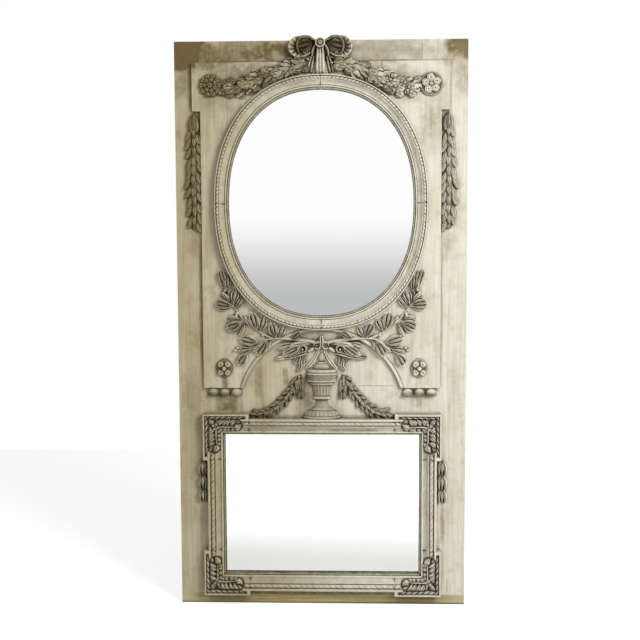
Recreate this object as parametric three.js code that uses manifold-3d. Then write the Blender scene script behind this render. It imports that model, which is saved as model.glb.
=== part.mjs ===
// Trumeau mirror: a tall painted panel with an oval mirror above a rectangular one.
//
// Millimetres, +Z up, +X to the right seen from the front, the front faces -Y.
// The origin is the middle of the bottom face. "Depth" is the distance in front of the wall.

import * as THREE from "three";
import { mergeVertices } from "three/addons/utils/BufferGeometryUtils.js";
import Module from "manifold-3d";

const wasm = await Module();
wasm.setup();

// ---------------------------------------------------------------- driving dimensions

// Joinery of the panel
const PANEL_WIDTH = 1020;
const PANEL_HEIGHT = 2000;
const BATTEN_THICKNESS = 22;
const BATTEN_WIDTH = 70;
const BATTEN_END_MARGIN = 14;
const CARCASE_THICKNESS = 24;
const BACK_BOARD_THICKNESS = 12;
const STILE_WIDTH = 158;
const PLINTH_HEIGHT = 33;
const MID_RAIL_HEIGHT = 171;
const TOP_RAIL_HEIGHT = 120;
const ARCH_PANEL_LAP = 20;
const FIT_GAP = 0.3;
const FAR = 2.5 * PANEL_WIDTH;

// Raised field that carries the oval mirror
const FIELD_THICKNESS = 12;
const FIELD_TOP_MARGIN = 74;
const FIELD_SIDE_MARGIN_UPPER = 62;
const FIELD_SIDE_MARGIN_LOWER = 91;
const FIELD_NOTCH_DROP = 167;
const FIELD_FOOT_LIFT = 109;
const FIELD_FOOT_WIDTH = 141;
const ARCH_RISE = 204;
const LEFT_BOARD_WIDTH = 123;
const RIGHT_BOARD_WIDTH = 237;
const LOWER_SEAM_X = -14;

// Oval mirror
const OVAL_TOP_MARGIN = 46;
const OVAL_SIDE_MARGIN = 47;
const OVAL_ARCH_GAP = 5;
const OVAL_FRAME_WIDTH = 48.5;
const OVAL_FRAME_RISE = 26;
const OVAL_TONGUE = 12;
const OVAL_STEPS = 60;
const OVAL_FULLNESS = 2.24;

// Rectangular mirror
const RECT_SIGHT_BOTTOM_Z = 114;
const RECT_SIGHT_TOP_Z = 619;
const RECT_FRAME_WIDTH = 60;
const RECT_FRAME_RISE = 34;
const EAR_STEP = 16;
const EAR_LENGTH = 164;
const REBATE = 5;
const RECT_GLASS_DEPTH = 8;
const GLASS_THICKNESS = 4;

// Carving
const CARVING_RISE = 24;
const BOW_LOOP_HALF_WIDTH = 41;
const BOW_LOOP_HALF_HEIGHT = 41;
const BOW_LOOP_CENTRE_X = 70;
const BOW_RISE_ABOVE_PANEL = 13;
const BOW_RIBBON = 17;
const BOW_RISE = 38;
const FOLD_REACH = 42;
const BUTTON_RADIUS = 17;
const BUTTON_DROP = 14;
const TIE_HALF_WIDTH = 15;
const TOP_ROSETTE_RADIUS = 41;
const TOP_ROSETTE_MARGIN = 66;
const TOP_ROSETTE_DROP = 34;
const FOOT_ROSETTE_HALF_WIDTH = 31;
const FOOT_ROSETTE_HALF_HEIGHT = 35;
const FOOT_ROSETTE_LIFT = 71;
const GARLAND_HALF_WIDTH = 29;
const GUTTA_WIDTH = 41;
const GUTTA_HEIGHT = 27;
const GUTTA_COUNT = 3;
const GUTTA_MARGIN = 12;
const SIDE_GARLAND_LENGTH = 420;
const SIDE_GARLAND_HALF_WIDTH = 21;
const FRAME_HUSK_LENGTH = 156;
const FRAME_HUSK_HALF_WIDTH = 14;
const FRAME_HUSK_TOP_Z = 529;
const HUSK_RISE = 18;
const URN_RELIEF = 0.5;
const URN_BAND_RADIUS = 56;
const URN_FOOT_RADIUS = 70;
const URN_CUP_RADIUS = 31;
const URN_STEM_RADIUS = 21;
const SWAG_HALF_WIDTH = 14;
const SWAG_TOP_X = 76;
const SWAG_LEAF = 34;
const SWAG_TOP_LIFT = 161;
const DROP_LENGTH = 100;
const STEM_HALF_WIDTH = 5;
const KNOT_HALF_WIDTH = 27;
const KNOT_DROP = 55;
const LEAF_LENGTH = 60;
const LEAF_WIDTH = 20;
const LAUREL_LEAF = 46;
const HEAD_RADIUS = 19;
const HEAD_RISE = 26;
const RIBBON_RISE = 20;

// Hanging plates on the back
const PLATE_LENGTH = 80;
const PLATE_WIDTH = 24;
const PLATE_THICKNESS = 3;
const SCREW_HEAD_RADIUS = 5;
const SCREW_HEAD_HEIGHT = 2;
const SCREW_MARGIN = 12;
const KEYHOLE_SLOT_RADIUS = 2.5;
const KEYHOLE_RADIUS = 6;
const KEYHOLE_LENGTH = 14;

// ---------------------------------------------------------------- derived places

const HALF_WIDTH = PANEL_WIDTH / 2;
const OPENING_HALF = HALF_WIDTH - STILE_WIDTH;
const CARCASE_BACK = BATTEN_THICKNESS;
const CARCASE_FRONT = CARCASE_BACK + CARCASE_THICKNESS;
const FIELD_FRONT = CARCASE_FRONT + FIELD_THICKNESS;
const WALL_Y = CARCASE_BACK + CARCASE_THICKNESS / 2;
const FIELD_TOP = PANEL_HEIGHT - FIELD_TOP_MARGIN;
const FIELD_NOTCH_Z = FIELD_TOP - FIELD_NOTCH_DROP;
const FIELD_HALF_UPPER = HALF_WIDTH - FIELD_SIDE_MARGIN_UPPER;
const FIELD_HALF_LOWER = HALF_WIDTH - FIELD_SIDE_MARGIN_LOWER;
const RECT_SIGHT_HALF = OPENING_HALF - REBATE;
const RECT_OUTER_HALF = RECT_SIGHT_HALF + RECT_FRAME_WIDTH;
const RECT_OUTER_TOP = RECT_SIGHT_TOP_Z + RECT_FRAME_WIDTH;
const RECT_OUTER_BOTTOM = RECT_SIGHT_BOTTOM_Z - RECT_FRAME_WIDTH;
const FIELD_FOOT_Z = RECT_OUTER_TOP + FIELD_FOOT_LIFT;
const ARCH_HALF_WIDTH = FIELD_HALF_LOWER - FIELD_FOOT_WIDTH;
const ARCH_RADIUS = (ARCH_HALF_WIDTH ** 2 + ARCH_RISE ** 2) / (2 * ARCH_RISE);
const ARCH_APEX_Z = FIELD_FOOT_Z + ARCH_RISE;
const ARCH_CENTRE_Z = ARCH_APEX_Z - ARCH_RADIUS;
const OVAL_TOP = FIELD_TOP - OVAL_TOP_MARGIN;
const OVAL_BOTTOM = ARCH_APEX_Z + OVAL_ARCH_GAP;
const OVAL_CENTRE_Z = (OVAL_TOP + OVAL_BOTTOM) / 2;
const OVAL_OUTER_HALF_HEIGHT = (OVAL_TOP - OVAL_BOTTOM) / 2;
const OVAL_OUTER_HALF_WIDTH = FIELD_HALF_LOWER - OVAL_SIDE_MARGIN;
const OVAL_SIGHT_HALF_HEIGHT = OVAL_OUTER_HALF_HEIGHT - OVAL_FRAME_WIDTH;
const OVAL_SIGHT_HALF_WIDTH = OVAL_OUTER_HALF_WIDTH - OVAL_FRAME_WIDTH;
const TOP_ROSETTE_X = FIELD_HALF_UPPER - TOP_ROSETTE_MARGIN;
const LEFT_SEAM_X = LEFT_BOARD_WIDTH - FIELD_HALF_UPPER;
const RIGHT_SEAM_X = FIELD_HALF_UPPER - RIGHT_BOARD_WIDTH;
const MID_RAIL_BOTTOM = RECT_SIGHT_TOP_Z + REBATE;
const MID_RAIL_TOP = MID_RAIL_BOTTOM + MID_RAIL_HEIGHT;
const BOTTOM_RAIL_TOP = RECT_SIGHT_BOTTOM_Z - REBATE;
const TOP_RAIL_BOTTOM = PANEL_HEIGHT - TOP_RAIL_HEIGHT;
const ARCH_PANEL_TOP = ARCH_APEX_Z + ARCH_PANEL_LAP;
const KNOT_Z = ARCH_APEX_Z - KNOT_DROP;
const RECT_GLASS_FRONT = CARCASE_FRONT - RECT_GLASS_DEPTH;
const RECT_GLASS_BACK = RECT_GLASS_FRONT - GLASS_THICKNESS;
const PLATE_X = HALF_WIDTH - STILE_WIDTH / 2;
const PLATE_TOP = PANEL_HEIGHT - BATTEN_WIDTH - 2 * BATTEN_END_MARGIN;

const yAt = (depth) => WALL_Y - depth;
const radians = THREE.MathUtils.degToRad;

// ---------------------------------------------------------------- materials

const paint = (color) =>
  new THREE.MeshStandardMaterial({ color, roughness: 0.82, metalness: 0, flatShading: true });
const finishes = {
  ground: () => paint(0xd3cbb2),
  field: () => paint(0xd8d0b8),
  carving: () => paint(0xb9ae8d),
  plinth: () => paint(0x948a5e),
  rawWood: () => new THREE.MeshStandardMaterial({ color: 0x7d6140, roughness: 0.9, metalness: 0 }),
  mirror: () => new THREE.MeshStandardMaterial({ color: 0xe9edef, roughness: 0.04, metalness: 1 }),
  steel: () => new THREE.MeshStandardMaterial({ color: 0x6f6c66, roughness: 0.45, metalness: 0.9 }),
};

// ---------------------------------------------------------------- solids

/** A closed solid from a three.js geometry. */
function solidOf(geometry) {
  const plain = geometry.clone();
  plain.deleteAttribute("normal");
  plain.deleteAttribute("uv");
  const merged = mergeVertices(plain, 1e-4);
  return new wasm.Manifold(
    new wasm.Mesh({
      numProp: 3,
      vertProperties: Float32Array.from(merged.attributes.position.array),
      triVerts: Uint32Array.from(merged.index.array),
    }),
  );
}

/** The three.js geometry of a solid. */
function geometryOf(solid) {
  const mesh = solid.getMesh();
  const geometry = new THREE.BufferGeometry();
  geometry.setAttribute("position", new THREE.BufferAttribute(mesh.vertProperties, 3));
  geometry.setIndex(new THREE.BufferAttribute(mesh.triVerts, 1));
  geometry.computeVertexNormals();
  return geometry;
}

/** All the given geometries joined into one solid. */
function joined(geometries) {
  return geometries.map(solidOf).reduce((whole, piece) => whole.add(piece));
}

/** A flat board between two X, two Z and two depth values. */
function board(left, right, bottom, top, back, front) {
  const geometry = new THREE.BoxGeometry(right - left, front - back, top - bottom);
  return geometry.translate((left + right) / 2, yAt((back + front) / 2), (bottom + top) / 2);
}

/** A shape drawn in X and Z, made solid from one depth to another. */
function relief(shape, back, front, curveSegments = 12) {
  const geometry = new THREE.ExtrudeGeometry(shape, {
    depth: front - back,
    bevelEnabled: false,
    curveSegments,
  });
  return geometry.rotateX(Math.PI / 2).translate(0, yAt(back), 0);
}

/** A straight-sided shape through a list of [x, z] corners. */
function polygon(corners) {
  return new THREE.Shape(corners.map(([x, z]) => new THREE.Vector2(x, z)));
}

/** A pointed leaf with a raised midrib, from its root at [x, z] towards an angle in degrees. */
function leaf([x, z], angle, length, width, seat, rise) {
  const turn = radians(angle);
  const geometry = new THREE.OctahedronGeometry(1);
  geometry.scale(length / 2, rise, width / 2).rotateY(-turn);
  const reach = length / 2;
  return geometry.translate(x + reach * Math.cos(turn), yAt(seat), z + reach * Math.sin(turn));
}

/** A round boss on the surface: a low-sided ellipsoid. */
function boss([x, z], halfWidth, halfHeight, seat, rise, sides = 8) {
  const geometry = new THREE.SphereGeometry(1, sides, 4);
  return geometry.rotateX(Math.PI / 2).scale(halfWidth, rise, halfHeight).translate(x, yAt(seat), z);
}

/** A band of varying half width along a plane curve, as a flat shape. */
function bandAlong(curve, halfWidthAt, steps) {
  const left = [];
  const right = [];
  for (let i = 0; i <= steps; i += 1) {
    const t = i / steps;
    const point = curve.getPointAt(t);
    const tangent = curve.getTangentAt(t);
    const half = halfWidthAt(t);
    left.push(new THREE.Vector2(point.x - tangent.y * half, point.y + tangent.x * half));
    right.push(new THREE.Vector2(point.x + tangent.y * half, point.y - tangent.x * half));
  }
  return new THREE.Shape([...left, ...right.reverse()]);
}

const splineThrough = (points) => new THREE.SplineCurve(points.map(([x, z]) => new THREE.Vector2(x, z)));

/** Rows of overlapping leaves laid along a curve over a flat core, as one solid. */
function leafRun({
  curve, seat, halfWidth, rise, pitch, leafLength, splay = 30, core = 0.75, swell = () => 1,
}) {
  const length = curve.getLength();
  const count = Math.max(2, Math.round(length / pitch));
  const band = bandAlong(curve, (t) => core * halfWidth * swell(t), count);
  const pieces = [relief(band, seat, seat + 0.45 * rise)];
  for (let i = 0; i < count; i += 1) {
    const t = i / count;
    const point = curve.getPointAt(t);
    const tangent = curve.getTangentAt(t);
    const along = THREE.MathUtils.radToDeg(Math.atan2(tangent.y, tangent.x));
    const spread = halfWidth * swell(t);
    for (const row of [-1, 1, 0]) {
      const root = [point.x - tangent.y * row * spread * 0.3, point.y + tangent.x * row * spread * 0.3];
      const leafRise = row === 0 ? rise : 0.8 * rise;
      pieces.push(leaf(root, along + row * splay, leafLength, 0.95 * spread, seat, leafRise));
    }
  }
  return joined(pieces);
}

/** An upright oval as a shape, from its centre and half sizes. */
function ovalShape([x, z], halfWidth, halfHeight) {
  const shape = new THREE.Shape();
  shape.absellipse(x, z, halfWidth, halfHeight, 0, 2 * Math.PI, false);
  return shape;
}

/** A cosine or sine raised so that a curve drawn with it is fuller at its shoulders than an ellipse. */
function fuller(value) {
  return Math.sign(value) * Math.abs(value) ** (2 / OVAL_FULLNESS);
}

/** A loop of points round the oval mirror, from its half sizes. */
function mirrorOval(halfWidth, halfHeight) {
  const points = [];
  for (let i = 0; i < OVAL_STEPS; i += 1) {
    const turn = (2 * Math.PI * i) / OVAL_STEPS;
    const x = halfWidth * fuller(Math.cos(turn));
    points.push([x, OVAL_CENTRE_Z + halfHeight * fuller(Math.sin(turn))]);
  }
  return points;
}

/** The space in front of a seat plane, to trim off what lies behind it. */
function inFrontOf(depth) {
  return solidOf(board(-FAR, FAR, -FAR, 2 * FAR, depth, depth + FAR));
}

/** The space of the raised field and everything behind it, let out by a gap at its edges. */
function fieldSpace(gap) {
  const outline = fieldOutline(gap);
  return solidOf(relief(outline, 0, FIELD_FRONT, 32));
}

/** Trims a piece of carving to lie on the ground and over the field's edge. */
function seatedOnGround(solid) {
  return solid.intersect(inFrontOf(CARCASE_FRONT)).subtract(fieldSpace(FIT_GAP));
}

// ---------------------------------------------------------------- the panel

/** The raised field's outline: shoulders above, two feet below, and an arch between them. */
function fieldOutline(gap = 0) {
  const upper = FIELD_HALF_UPPER + gap;
  const lower = FIELD_HALF_LOWER + gap;
  const radius = ARCH_RADIUS - gap;
  const foot = FIELD_FOOT_Z - gap;
  const footAngle = Math.asin((foot - ARCH_CENTRE_Z) / radius);
  const shape = new THREE.Shape();
  shape.moveTo(lower, foot);
  shape.lineTo(lower, FIELD_NOTCH_Z - gap);
  shape.lineTo(upper, FIELD_NOTCH_Z - gap);
  shape.lineTo(upper, FIELD_TOP + gap);
  shape.lineTo(-upper, FIELD_TOP + gap);
  shape.lineTo(-upper, FIELD_NOTCH_Z - gap);
  shape.lineTo(-lower, FIELD_NOTCH_Z - gap);
  shape.lineTo(-lower, foot);
  shape.lineTo(-radius * Math.cos(footAngle), foot);
  shape.absarc(0, ARCH_CENTRE_Z, radius, Math.PI - footAngle, footAngle, true);
  shape.closePath();
  return shape;
}

/** The space that the oval frame takes up, to trim carving that runs up to it. */
function ovalSpace() {
  const rim = mirrorOval(OVAL_OUTER_HALF_WIDTH + FIT_GAP, OVAL_OUTER_HALF_HEIGHT + FIT_GAP);
  return solidOf(relief(polygon(rim), 0, FAR));
}

/** The whole field with its oval hole, before it is sawn into boards. */
function wholeField() {
  const shape = fieldOutline();
  const margin = OVAL_TONGUE + 1;
  const rim = mirrorOval(OVAL_SIGHT_HALF_WIDTH + margin, OVAL_SIGHT_HALF_HEIGHT + margin);
  shape.holes.push(new THREE.Path(rim.map(([x, z]) => new THREE.Vector2(x, z))));
  return solidOf(relief(shape, CARCASE_FRONT, FIELD_FRONT, 32));
}

/** The field's three boards: two sides that meet under the oval, and the head between them. */
function fieldBoards() {
  const field = wholeField();
  const half = FIT_GAP / 2;
  const region = (left, right, bottom, top) => solidOf(board(left, right, bottom, top, 0, FAR));
  const leftSide = region(-HALF_WIDTH, LEFT_SEAM_X - half, 0, PANEL_HEIGHT)
    .add(region(-HALF_WIDTH, LOWER_SEAM_X - half, 0, OVAL_CENTRE_Z));
  const rightSide = region(RIGHT_SEAM_X + half, HALF_WIDTH, 0, PANEL_HEIGHT)
    .add(region(LOWER_SEAM_X + half, HALF_WIDTH, 0, OVAL_CENTRE_Z));
  const head = region(LEFT_SEAM_X + half, RIGHT_SEAM_X - half, OVAL_CENTRE_Z + half, PANEL_HEIGHT);
  return {
    field_left: field.intersect(leftSide),
    field_right: field.intersect(rightSide),
    field_head: field.intersect(head),
  };
}

/** Stiles, rails and the board behind the arch, all flush at the front. */
function carcase() {
  const back = CARCASE_BACK;
  const front = CARCASE_FRONT;
  const inner = OPENING_HALF;
  const between = (bottom, top) => board(-inner, inner, bottom, top, back, front);
  return {
    plinth_board: board(-HALF_WIDTH, HALF_WIDTH, 0, PLINTH_HEIGHT, back, front),
    stile_left: board(-HALF_WIDTH, -inner, PLINTH_HEIGHT, PANEL_HEIGHT, back, front),
    stile_right: board(inner, HALF_WIDTH, PLINTH_HEIGHT, PANEL_HEIGHT, back, front),
    bottom_rail: between(PLINTH_HEIGHT, BOTTOM_RAIL_TOP),
    mid_rail: between(MID_RAIL_BOTTOM, MID_RAIL_TOP),
    arch_panel: between(MID_RAIL_TOP, ARCH_PANEL_TOP),
    top_rail: between(TOP_RAIL_BOTTOM, PANEL_HEIGHT),
  };
}

/** Three battens that stand the panel off the wall and tie its stiles together. */
function battens() {
  const half = HALF_WIDTH - BATTEN_END_MARGIN;
  const batten = (bottom) => board(-half, half, bottom, bottom + BATTEN_WIDTH, 0, CARCASE_BACK);
  return {
    batten_top: batten(PANEL_HEIGHT - BATTEN_WIDTH - BATTEN_END_MARGIN),
    batten_middle: batten((MID_RAIL_BOTTOM + MID_RAIL_TOP - BATTEN_WIDTH) / 2),
    batten_bottom: batten(PLINTH_HEIGHT),
  };
}

// ---------------------------------------------------------------- mirrors and their frames

/** The frame moulding's section as [distance out from the sight edge, depth] points. */
function mouldingSection({ width, rise, seat, tongueWidth, tongueBack }) {
  return [
    [0, tongueBack],
    [tongueWidth, tongueBack],
    [tongueWidth, seat],
    [width, seat],
    [width, seat + 0.86 * rise],
    [width - 5, seat + 0.92 * rise],
    [width - 7, seat + rise],
    [width - 17, seat + rise],
    [width - 20, seat + 0.88 * rise],
    [0.52 * width, seat + 0.5 * rise],
    [14, seat + 0.34 * rise],
    [13, seat + 0.44 * rise],
    [9, seat + 0.44 * rise],
    [8, seat + 0.26 * rise],
    [0, seat + 0.22 * rise],
  ];
}

/** The oval frame as one closed ring: its section turned round the sight oval. */
function ovalRing() {
  const section = mouldingSection({
    width: OVAL_FRAME_WIDTH,
    rise: OVAL_FRAME_RISE,
    seat: FIELD_FRONT,
    tongueWidth: OVAL_TONGUE,
    tongueBack: CARCASE_FRONT + GLASS_THICKNESS,
  });
  const closed = [...section, section[0]].map(([out, depth]) => new THREE.Vector2(FAR + out, depth));
  const ring = new THREE.LatheGeometry(closed, OVAL_STEPS);
  const positions = ring.attributes.position;
  for (let i = 0; i < positions.count; i += 1) {
    const radius = Math.hypot(positions.getX(i), positions.getZ(i));
    const out = radius - FAR;
    positions.setXYZ(
      i,
      (OVAL_SIGHT_HALF_WIDTH + out) * fuller(positions.getX(i) / radius),
      yAt(positions.getY(i)),
      OVAL_CENTRE_Z - (OVAL_SIGHT_HALF_HEIGHT + out) * fuller(positions.getZ(i) / radius),
    );
  }
  return solidOf(ring);
}

/** Four quarter lengths of oval frame, butted at the top, bottom and sides. */
function ovalFrame() {
  const ring = ovalRing();
  const reach = PANEL_WIDTH;
  const quarters = {};
  for (const [sideName, side] of [["left", -1], ["right", 1]]) {
    for (const [endName, end] of [["bottom", -1], ["top", 1]]) {
      const x = side * (reach + FIT_GAP) / 2;
      const z = OVAL_CENTRE_Z + end * (reach + FIT_GAP) / 2;
      const corner = board(x - reach / 2, x + reach / 2, z - reach / 2, z + reach / 2, 0, FAR);
      quarters[`oval_frame_${endName}_${sideName}`] = ring.intersect(solidOf(corner));
    }
  }
  return quarters;
}

/** The oval glass, clamped between the frame's tongue and the board behind it. */
function ovalGlass() {
  const margin = OVAL_TONGUE - 1;
  const rim = mirrorOval(OVAL_SIGHT_HALF_WIDTH + margin, OVAL_SIGHT_HALF_HEIGHT + margin);
  return relief(polygon(rim), CARCASE_FRONT, CARCASE_FRONT + GLASS_THICKNESS);
}

/** The board behind the oval glass, between the stiles, flush with the carcase front. */
function ovalBackBoard() {
  const back = CARCASE_FRONT - BACK_BOARD_THICKNESS;
  return board(-OPENING_HALF, OPENING_HALF, ARCH_PANEL_TOP, TOP_RAIL_BOTTOM, back, CARCASE_FRONT);
}

/** A pane that fills the rectangular opening: the glass, or the board behind it. */
function rectPane(back, front) {
  const half = OPENING_HALF - FIT_GAP;
  return board(-half, half, BOTTOM_RAIL_TOP + FIT_GAP, MID_RAIL_BOTTOM - FIT_GAP, back, front);
}

/** One straight length of the rectangular frame, along X with its outside towards +Z. */
function straightMoulding(length) {
  const section = mouldingSection({
    width: RECT_FRAME_WIDTH,
    rise: RECT_FRAME_RISE,
    seat: CARCASE_FRONT,
    tongueWidth: REBATE - FIT_GAP,
    tongueBack: RECT_GLASS_FRONT,
  });
  const shape = polygon(section.map(([out, depth]) => [out, yAt(depth)]));
  const geometry = new THREE.ExtrudeGeometry(shape, { depth: length, bevelEnabled: false });
  return geometry.translate(0, 0, -length / 2).rotateY(-Math.PI / 2);
}

/** The four straight lengths between the eared corners. */
function rectFrameLengths() {
  const earInner = EAR_LENGTH - EAR_STEP;
  const acrossLength = 2 * (RECT_OUTER_HALF - earInner - FIT_GAP);
  const upLength = RECT_OUTER_TOP - RECT_OUTER_BOTTOM - 2 * (earInner + FIT_GAP);
  const middleZ = (RECT_OUTER_TOP + RECT_OUTER_BOTTOM) / 2;
  const place = (length, turn, x, z) =>
    straightMoulding(length).rotateY(turn).translate(x, 0, z);
  return {
    rect_frame_top: place(acrossLength, 0, 0, RECT_SIGHT_TOP_Z),
    rect_frame_bottom: place(acrossLength, Math.PI, 0, RECT_SIGHT_BOTTOM_Z),
    rect_frame_left: place(upLength, -Math.PI / 2, -RECT_SIGHT_HALF, middleZ),
    rect_frame_right: place(upLength, Math.PI / 2, RECT_SIGHT_HALF, middleZ),
  };
}

/** An L-shaped corner of the frame: its ears step out past the straight lengths. */
function framedCorner(side, end) {
  const sightZ = end > 0 ? RECT_SIGHT_TOP_Z : RECT_SIGHT_BOTTOM_Z;
  const full = RECT_FRAME_WIDTH + EAR_STEP;
  const at = (out, up) => [side * (RECT_SIGHT_HALF + out), sightZ + end * up];
  const bandShape = (inner, outer, reach) =>
    polygon([
      at(inner, inner),
      at(inner, reach),
      at(outer, reach),
      at(outer, outer),
      at(reach, outer),
      at(reach, inner),
    ]);
  const tail = full - EAR_LENGTH;
  const seat = CARCASE_FRONT;
  const rise = RECT_FRAME_RISE;
  const pieces = [
    relief(bandShape(0, full, tail), seat, seat + 0.3 * rise),
    relief(bandShape(9, full, tail), seat, seat + 0.62 * rise),
    relief(bandShape(full - 9, full, tail), seat, seat + 0.95 * rise),
  ];
  const middle = 0.52 * full;
  const leafLength = 0.42 * EAR_LENGTH;
  for (const [outwards, upwards] of [[-1, 0], [0, -1]]) {
    const along = THREE.MathUtils.radToDeg(Math.atan2(end * upwards, side * outwards));
    for (let i = 0; i < 3; i += 1) {
      const back = i * 0.27 * EAR_LENGTH;
      const root = at(middle + outwards * back, middle + upwards * back);
      pieces.push(leaf(root, along + 24, leafLength, 20, seat + 0.4 * rise, 0.66 * rise));
      pieces.push(leaf(root, along - 24, leafLength, 20, seat + 0.4 * rise, 0.66 * rise));
    }
  }
  pieces.push(boss(at(middle, middle), 17, 17, seat + 0.4 * rise, 0.72 * rise));
  const reachBox = board(-HALF_WIDTH, HALF_WIDTH, 0, PANEL_HEIGHT, seat, FAR);
  const inside = relief(bandShape(0, full, tail), 0, FAR);
  return joined(pieces).intersect(solidOf(reachBox)).intersect(solidOf(inside));
}

// ---------------------------------------------------------------- carving at the head

/** One hollow loop of the bow, standing a little above the panel's top edge. */
function bowLoop(side) {
  const centreZ = PANEL_HEIGHT + BOW_RISE_ABOVE_PANEL - BOW_LOOP_HALF_HEIGHT;
  const x = side * BOW_LOOP_CENTRE_X;
  const loop = (inset, shift = 0) => ovalShape([x - side * shift, centreZ - shift],
    BOW_LOOP_HALF_WIDTH - inset, BOW_LOOP_HALF_HEIGHT - inset);
  const outer = loop(0);
  outer.holes.push(loop(BOW_RIBBON, 0.25 * BOW_RIBBON));
  const ring = relief(outer, CARCASE_FRONT, CARCASE_FRONT + BOW_RISE, 10);
  const floor = relief(loop(0.5 * BOW_RIBBON), CARCASE_FRONT, CARCASE_FRONT + 0.2 * BOW_RISE, 8);
  return joined([ring, floor]);
}

/** The bow's button, the strip that hangs from it to the oval frame, and a fold each side. */
function bowTie() {
  const centre = [0, PANEL_HEIGHT - BUTTON_DROP];
  const seat = CARCASE_FRONT;
  const disc = ovalShape(centre, BUTTON_RADIUS, BUTTON_RADIUS);
  const button = relief(disc, seat, seat + 0.95 * BOW_RISE, 8);
  const dome = 0.8 * BUTTON_RADIUS;
  const crown = boss(centre, dome, dome, seat + 0.9 * BOW_RISE, 0.25 * BOW_RISE, 10);
  const top = centre[1] - 0.75 * BUTTON_RADIUS;
  const bottom = OVAL_TOP + FIT_GAP + 4;
  const half = TIE_HALF_WIDTH;
  const strip = polygon([[-half, bottom], [half, bottom], [half - 2, top], [2 - half, top]]);
  const pieces = [button, crown, relief(strip, seat, seat + 0.9 * BOW_RISE)];
  for (const side of [-1, 1]) {
    const fold = [
      [side * 0.4 * half, top - 18],
      [side * 0.7 * FOLD_REACH, top - 26],
      [side * FOLD_REACH, bottom + 6],
      [side * 0.5 * FOLD_REACH, bottom],
    ];
    const corners = side > 0 ? fold.reverse() : fold;
    pieces.push(relief(polygon(corners), seat, seat + 0.58 * BOW_RISE));
  }
  return seatedOnGround(joined(pieces));
}

/** A laurel garland from the bow out to its rosette, over the oval's shoulder. */
function laurelGarland(side) {
  const start = [46, OVAL_TOP + 34];
  const finish = [TOP_ROSETTE_X - TOP_ROSETTE_RADIUS - 3, OVAL_TOP - TOP_ROSETTE_DROP - 5];
  const curve = new THREE.CubicBezierCurve(
    new THREE.Vector2(side * start[0], start[1]),
    new THREE.Vector2(side * (start[0] + 95), start[1] - 5),
    new THREE.Vector2(side * (finish[0] - 100), finish[1] + 2),
    new THREE.Vector2(side * finish[0], finish[1]),
  );
  const run = leafRun({
    curve,
    seat: FIELD_FRONT,
    halfWidth: GARLAND_HALF_WIDTH,
    rise: CARVING_RISE,
    pitch: 0.58 * LAUREL_LEAF,
    leafLength: LAUREL_LEAF,
    swell: (t) => 0.75 + 0.3 * Math.sin(Math.PI * (0.25 + 0.7 * t)),
  });
  const limit = TOP_ROSETTE_X - TOP_ROSETTE_RADIUS - FIT_GAP;
  const span = [side * (start[0] - 1), side * limit].sort((a, b) => a - b);
  return run
    .intersect(solidOf(board(span[0], span[1], 0, FIELD_TOP - 1, FIELD_FRONT, FAR)))
    .subtract(ovalSpace());
}

/** A round flower: a disc, a ring of petals and a raised centre. */
function rosette(centre, halfWidth, halfHeight, seat, rise, petals) {
  const disc = ovalShape(centre, halfWidth, halfHeight);
  const pieces = [relief(disc, seat, seat + 0.45 * rise, 8)];
  for (let i = 0; i < petals; i += 1) {
    const turn = (2 * Math.PI * (i + 0.25)) / petals;
    const x = centre[0] + 0.56 * halfWidth * Math.cos(turn);
    const z = centre[1] + 0.56 * halfHeight * Math.sin(turn);
    pieces.push(boss([x, z], 0.33 * halfWidth, 0.33 * halfHeight, seat + 0.35 * rise, 0.6 * rise, 6));
  }
  pieces.push(boss(centre, 0.3 * halfWidth, 0.3 * halfHeight, seat + 0.35 * rise, 0.65 * rise, 8));
  return joined(pieces).intersect(inFrontOf(seat));
}

/** The head rosette of one side, a round flower of five petals. */
function topRosette(side) {
  const centre = [side * TOP_ROSETTE_X, OVAL_TOP - TOP_ROSETTE_DROP];
  return rosette(centre, TOP_ROSETTE_RADIUS, TOP_ROSETTE_RADIUS, FIELD_FRONT, CARVING_RISE, 5);
}

/** The rosette on one foot of the field, an upright oval flower of four petals. */
function footRosette(side) {
  const centre = [side * ((FIELD_HALF_LOWER + ARCH_HALF_WIDTH) / 2 - 4), FIELD_FOOT_Z + FOOT_ROSETTE_LIFT];
  return rosette(centre, FOOT_ROSETTE_HALF_WIDTH, FOOT_ROSETTE_HALF_HEIGHT, FIELD_FRONT, CARVING_RISE, 4);
}

// ---------------------------------------------------------------- carving at the sides and feet

/** A string of husks beside the field, hung from its notch. */
function sideGarland(side) {
  const x = side * (FIELD_HALF_LOWER + FIT_GAP + SIDE_GARLAND_HALF_WIDTH);
  const top = FIELD_NOTCH_Z - 2;
  const bottom = top - SIDE_GARLAND_LENGTH;
  const curve = splineThrough([[x, top - 2], [x + side * 3, (top + bottom) / 2], [x + side, bottom + 22]]);
  const run = leafRun({
    curve,
    seat: CARCASE_FRONT,
    halfWidth: SIDE_GARLAND_HALF_WIDTH,
    rise: CARVING_RISE,
    pitch: 0.7 * LEAF_LENGTH,
    leafLength: 1.03 * LEAF_LENGTH,
    splay: 14,
    swell: (t) => (t < 0.12 ? 0.6 : 1),
  });
  return seatedOnGround(run);
}

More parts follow.
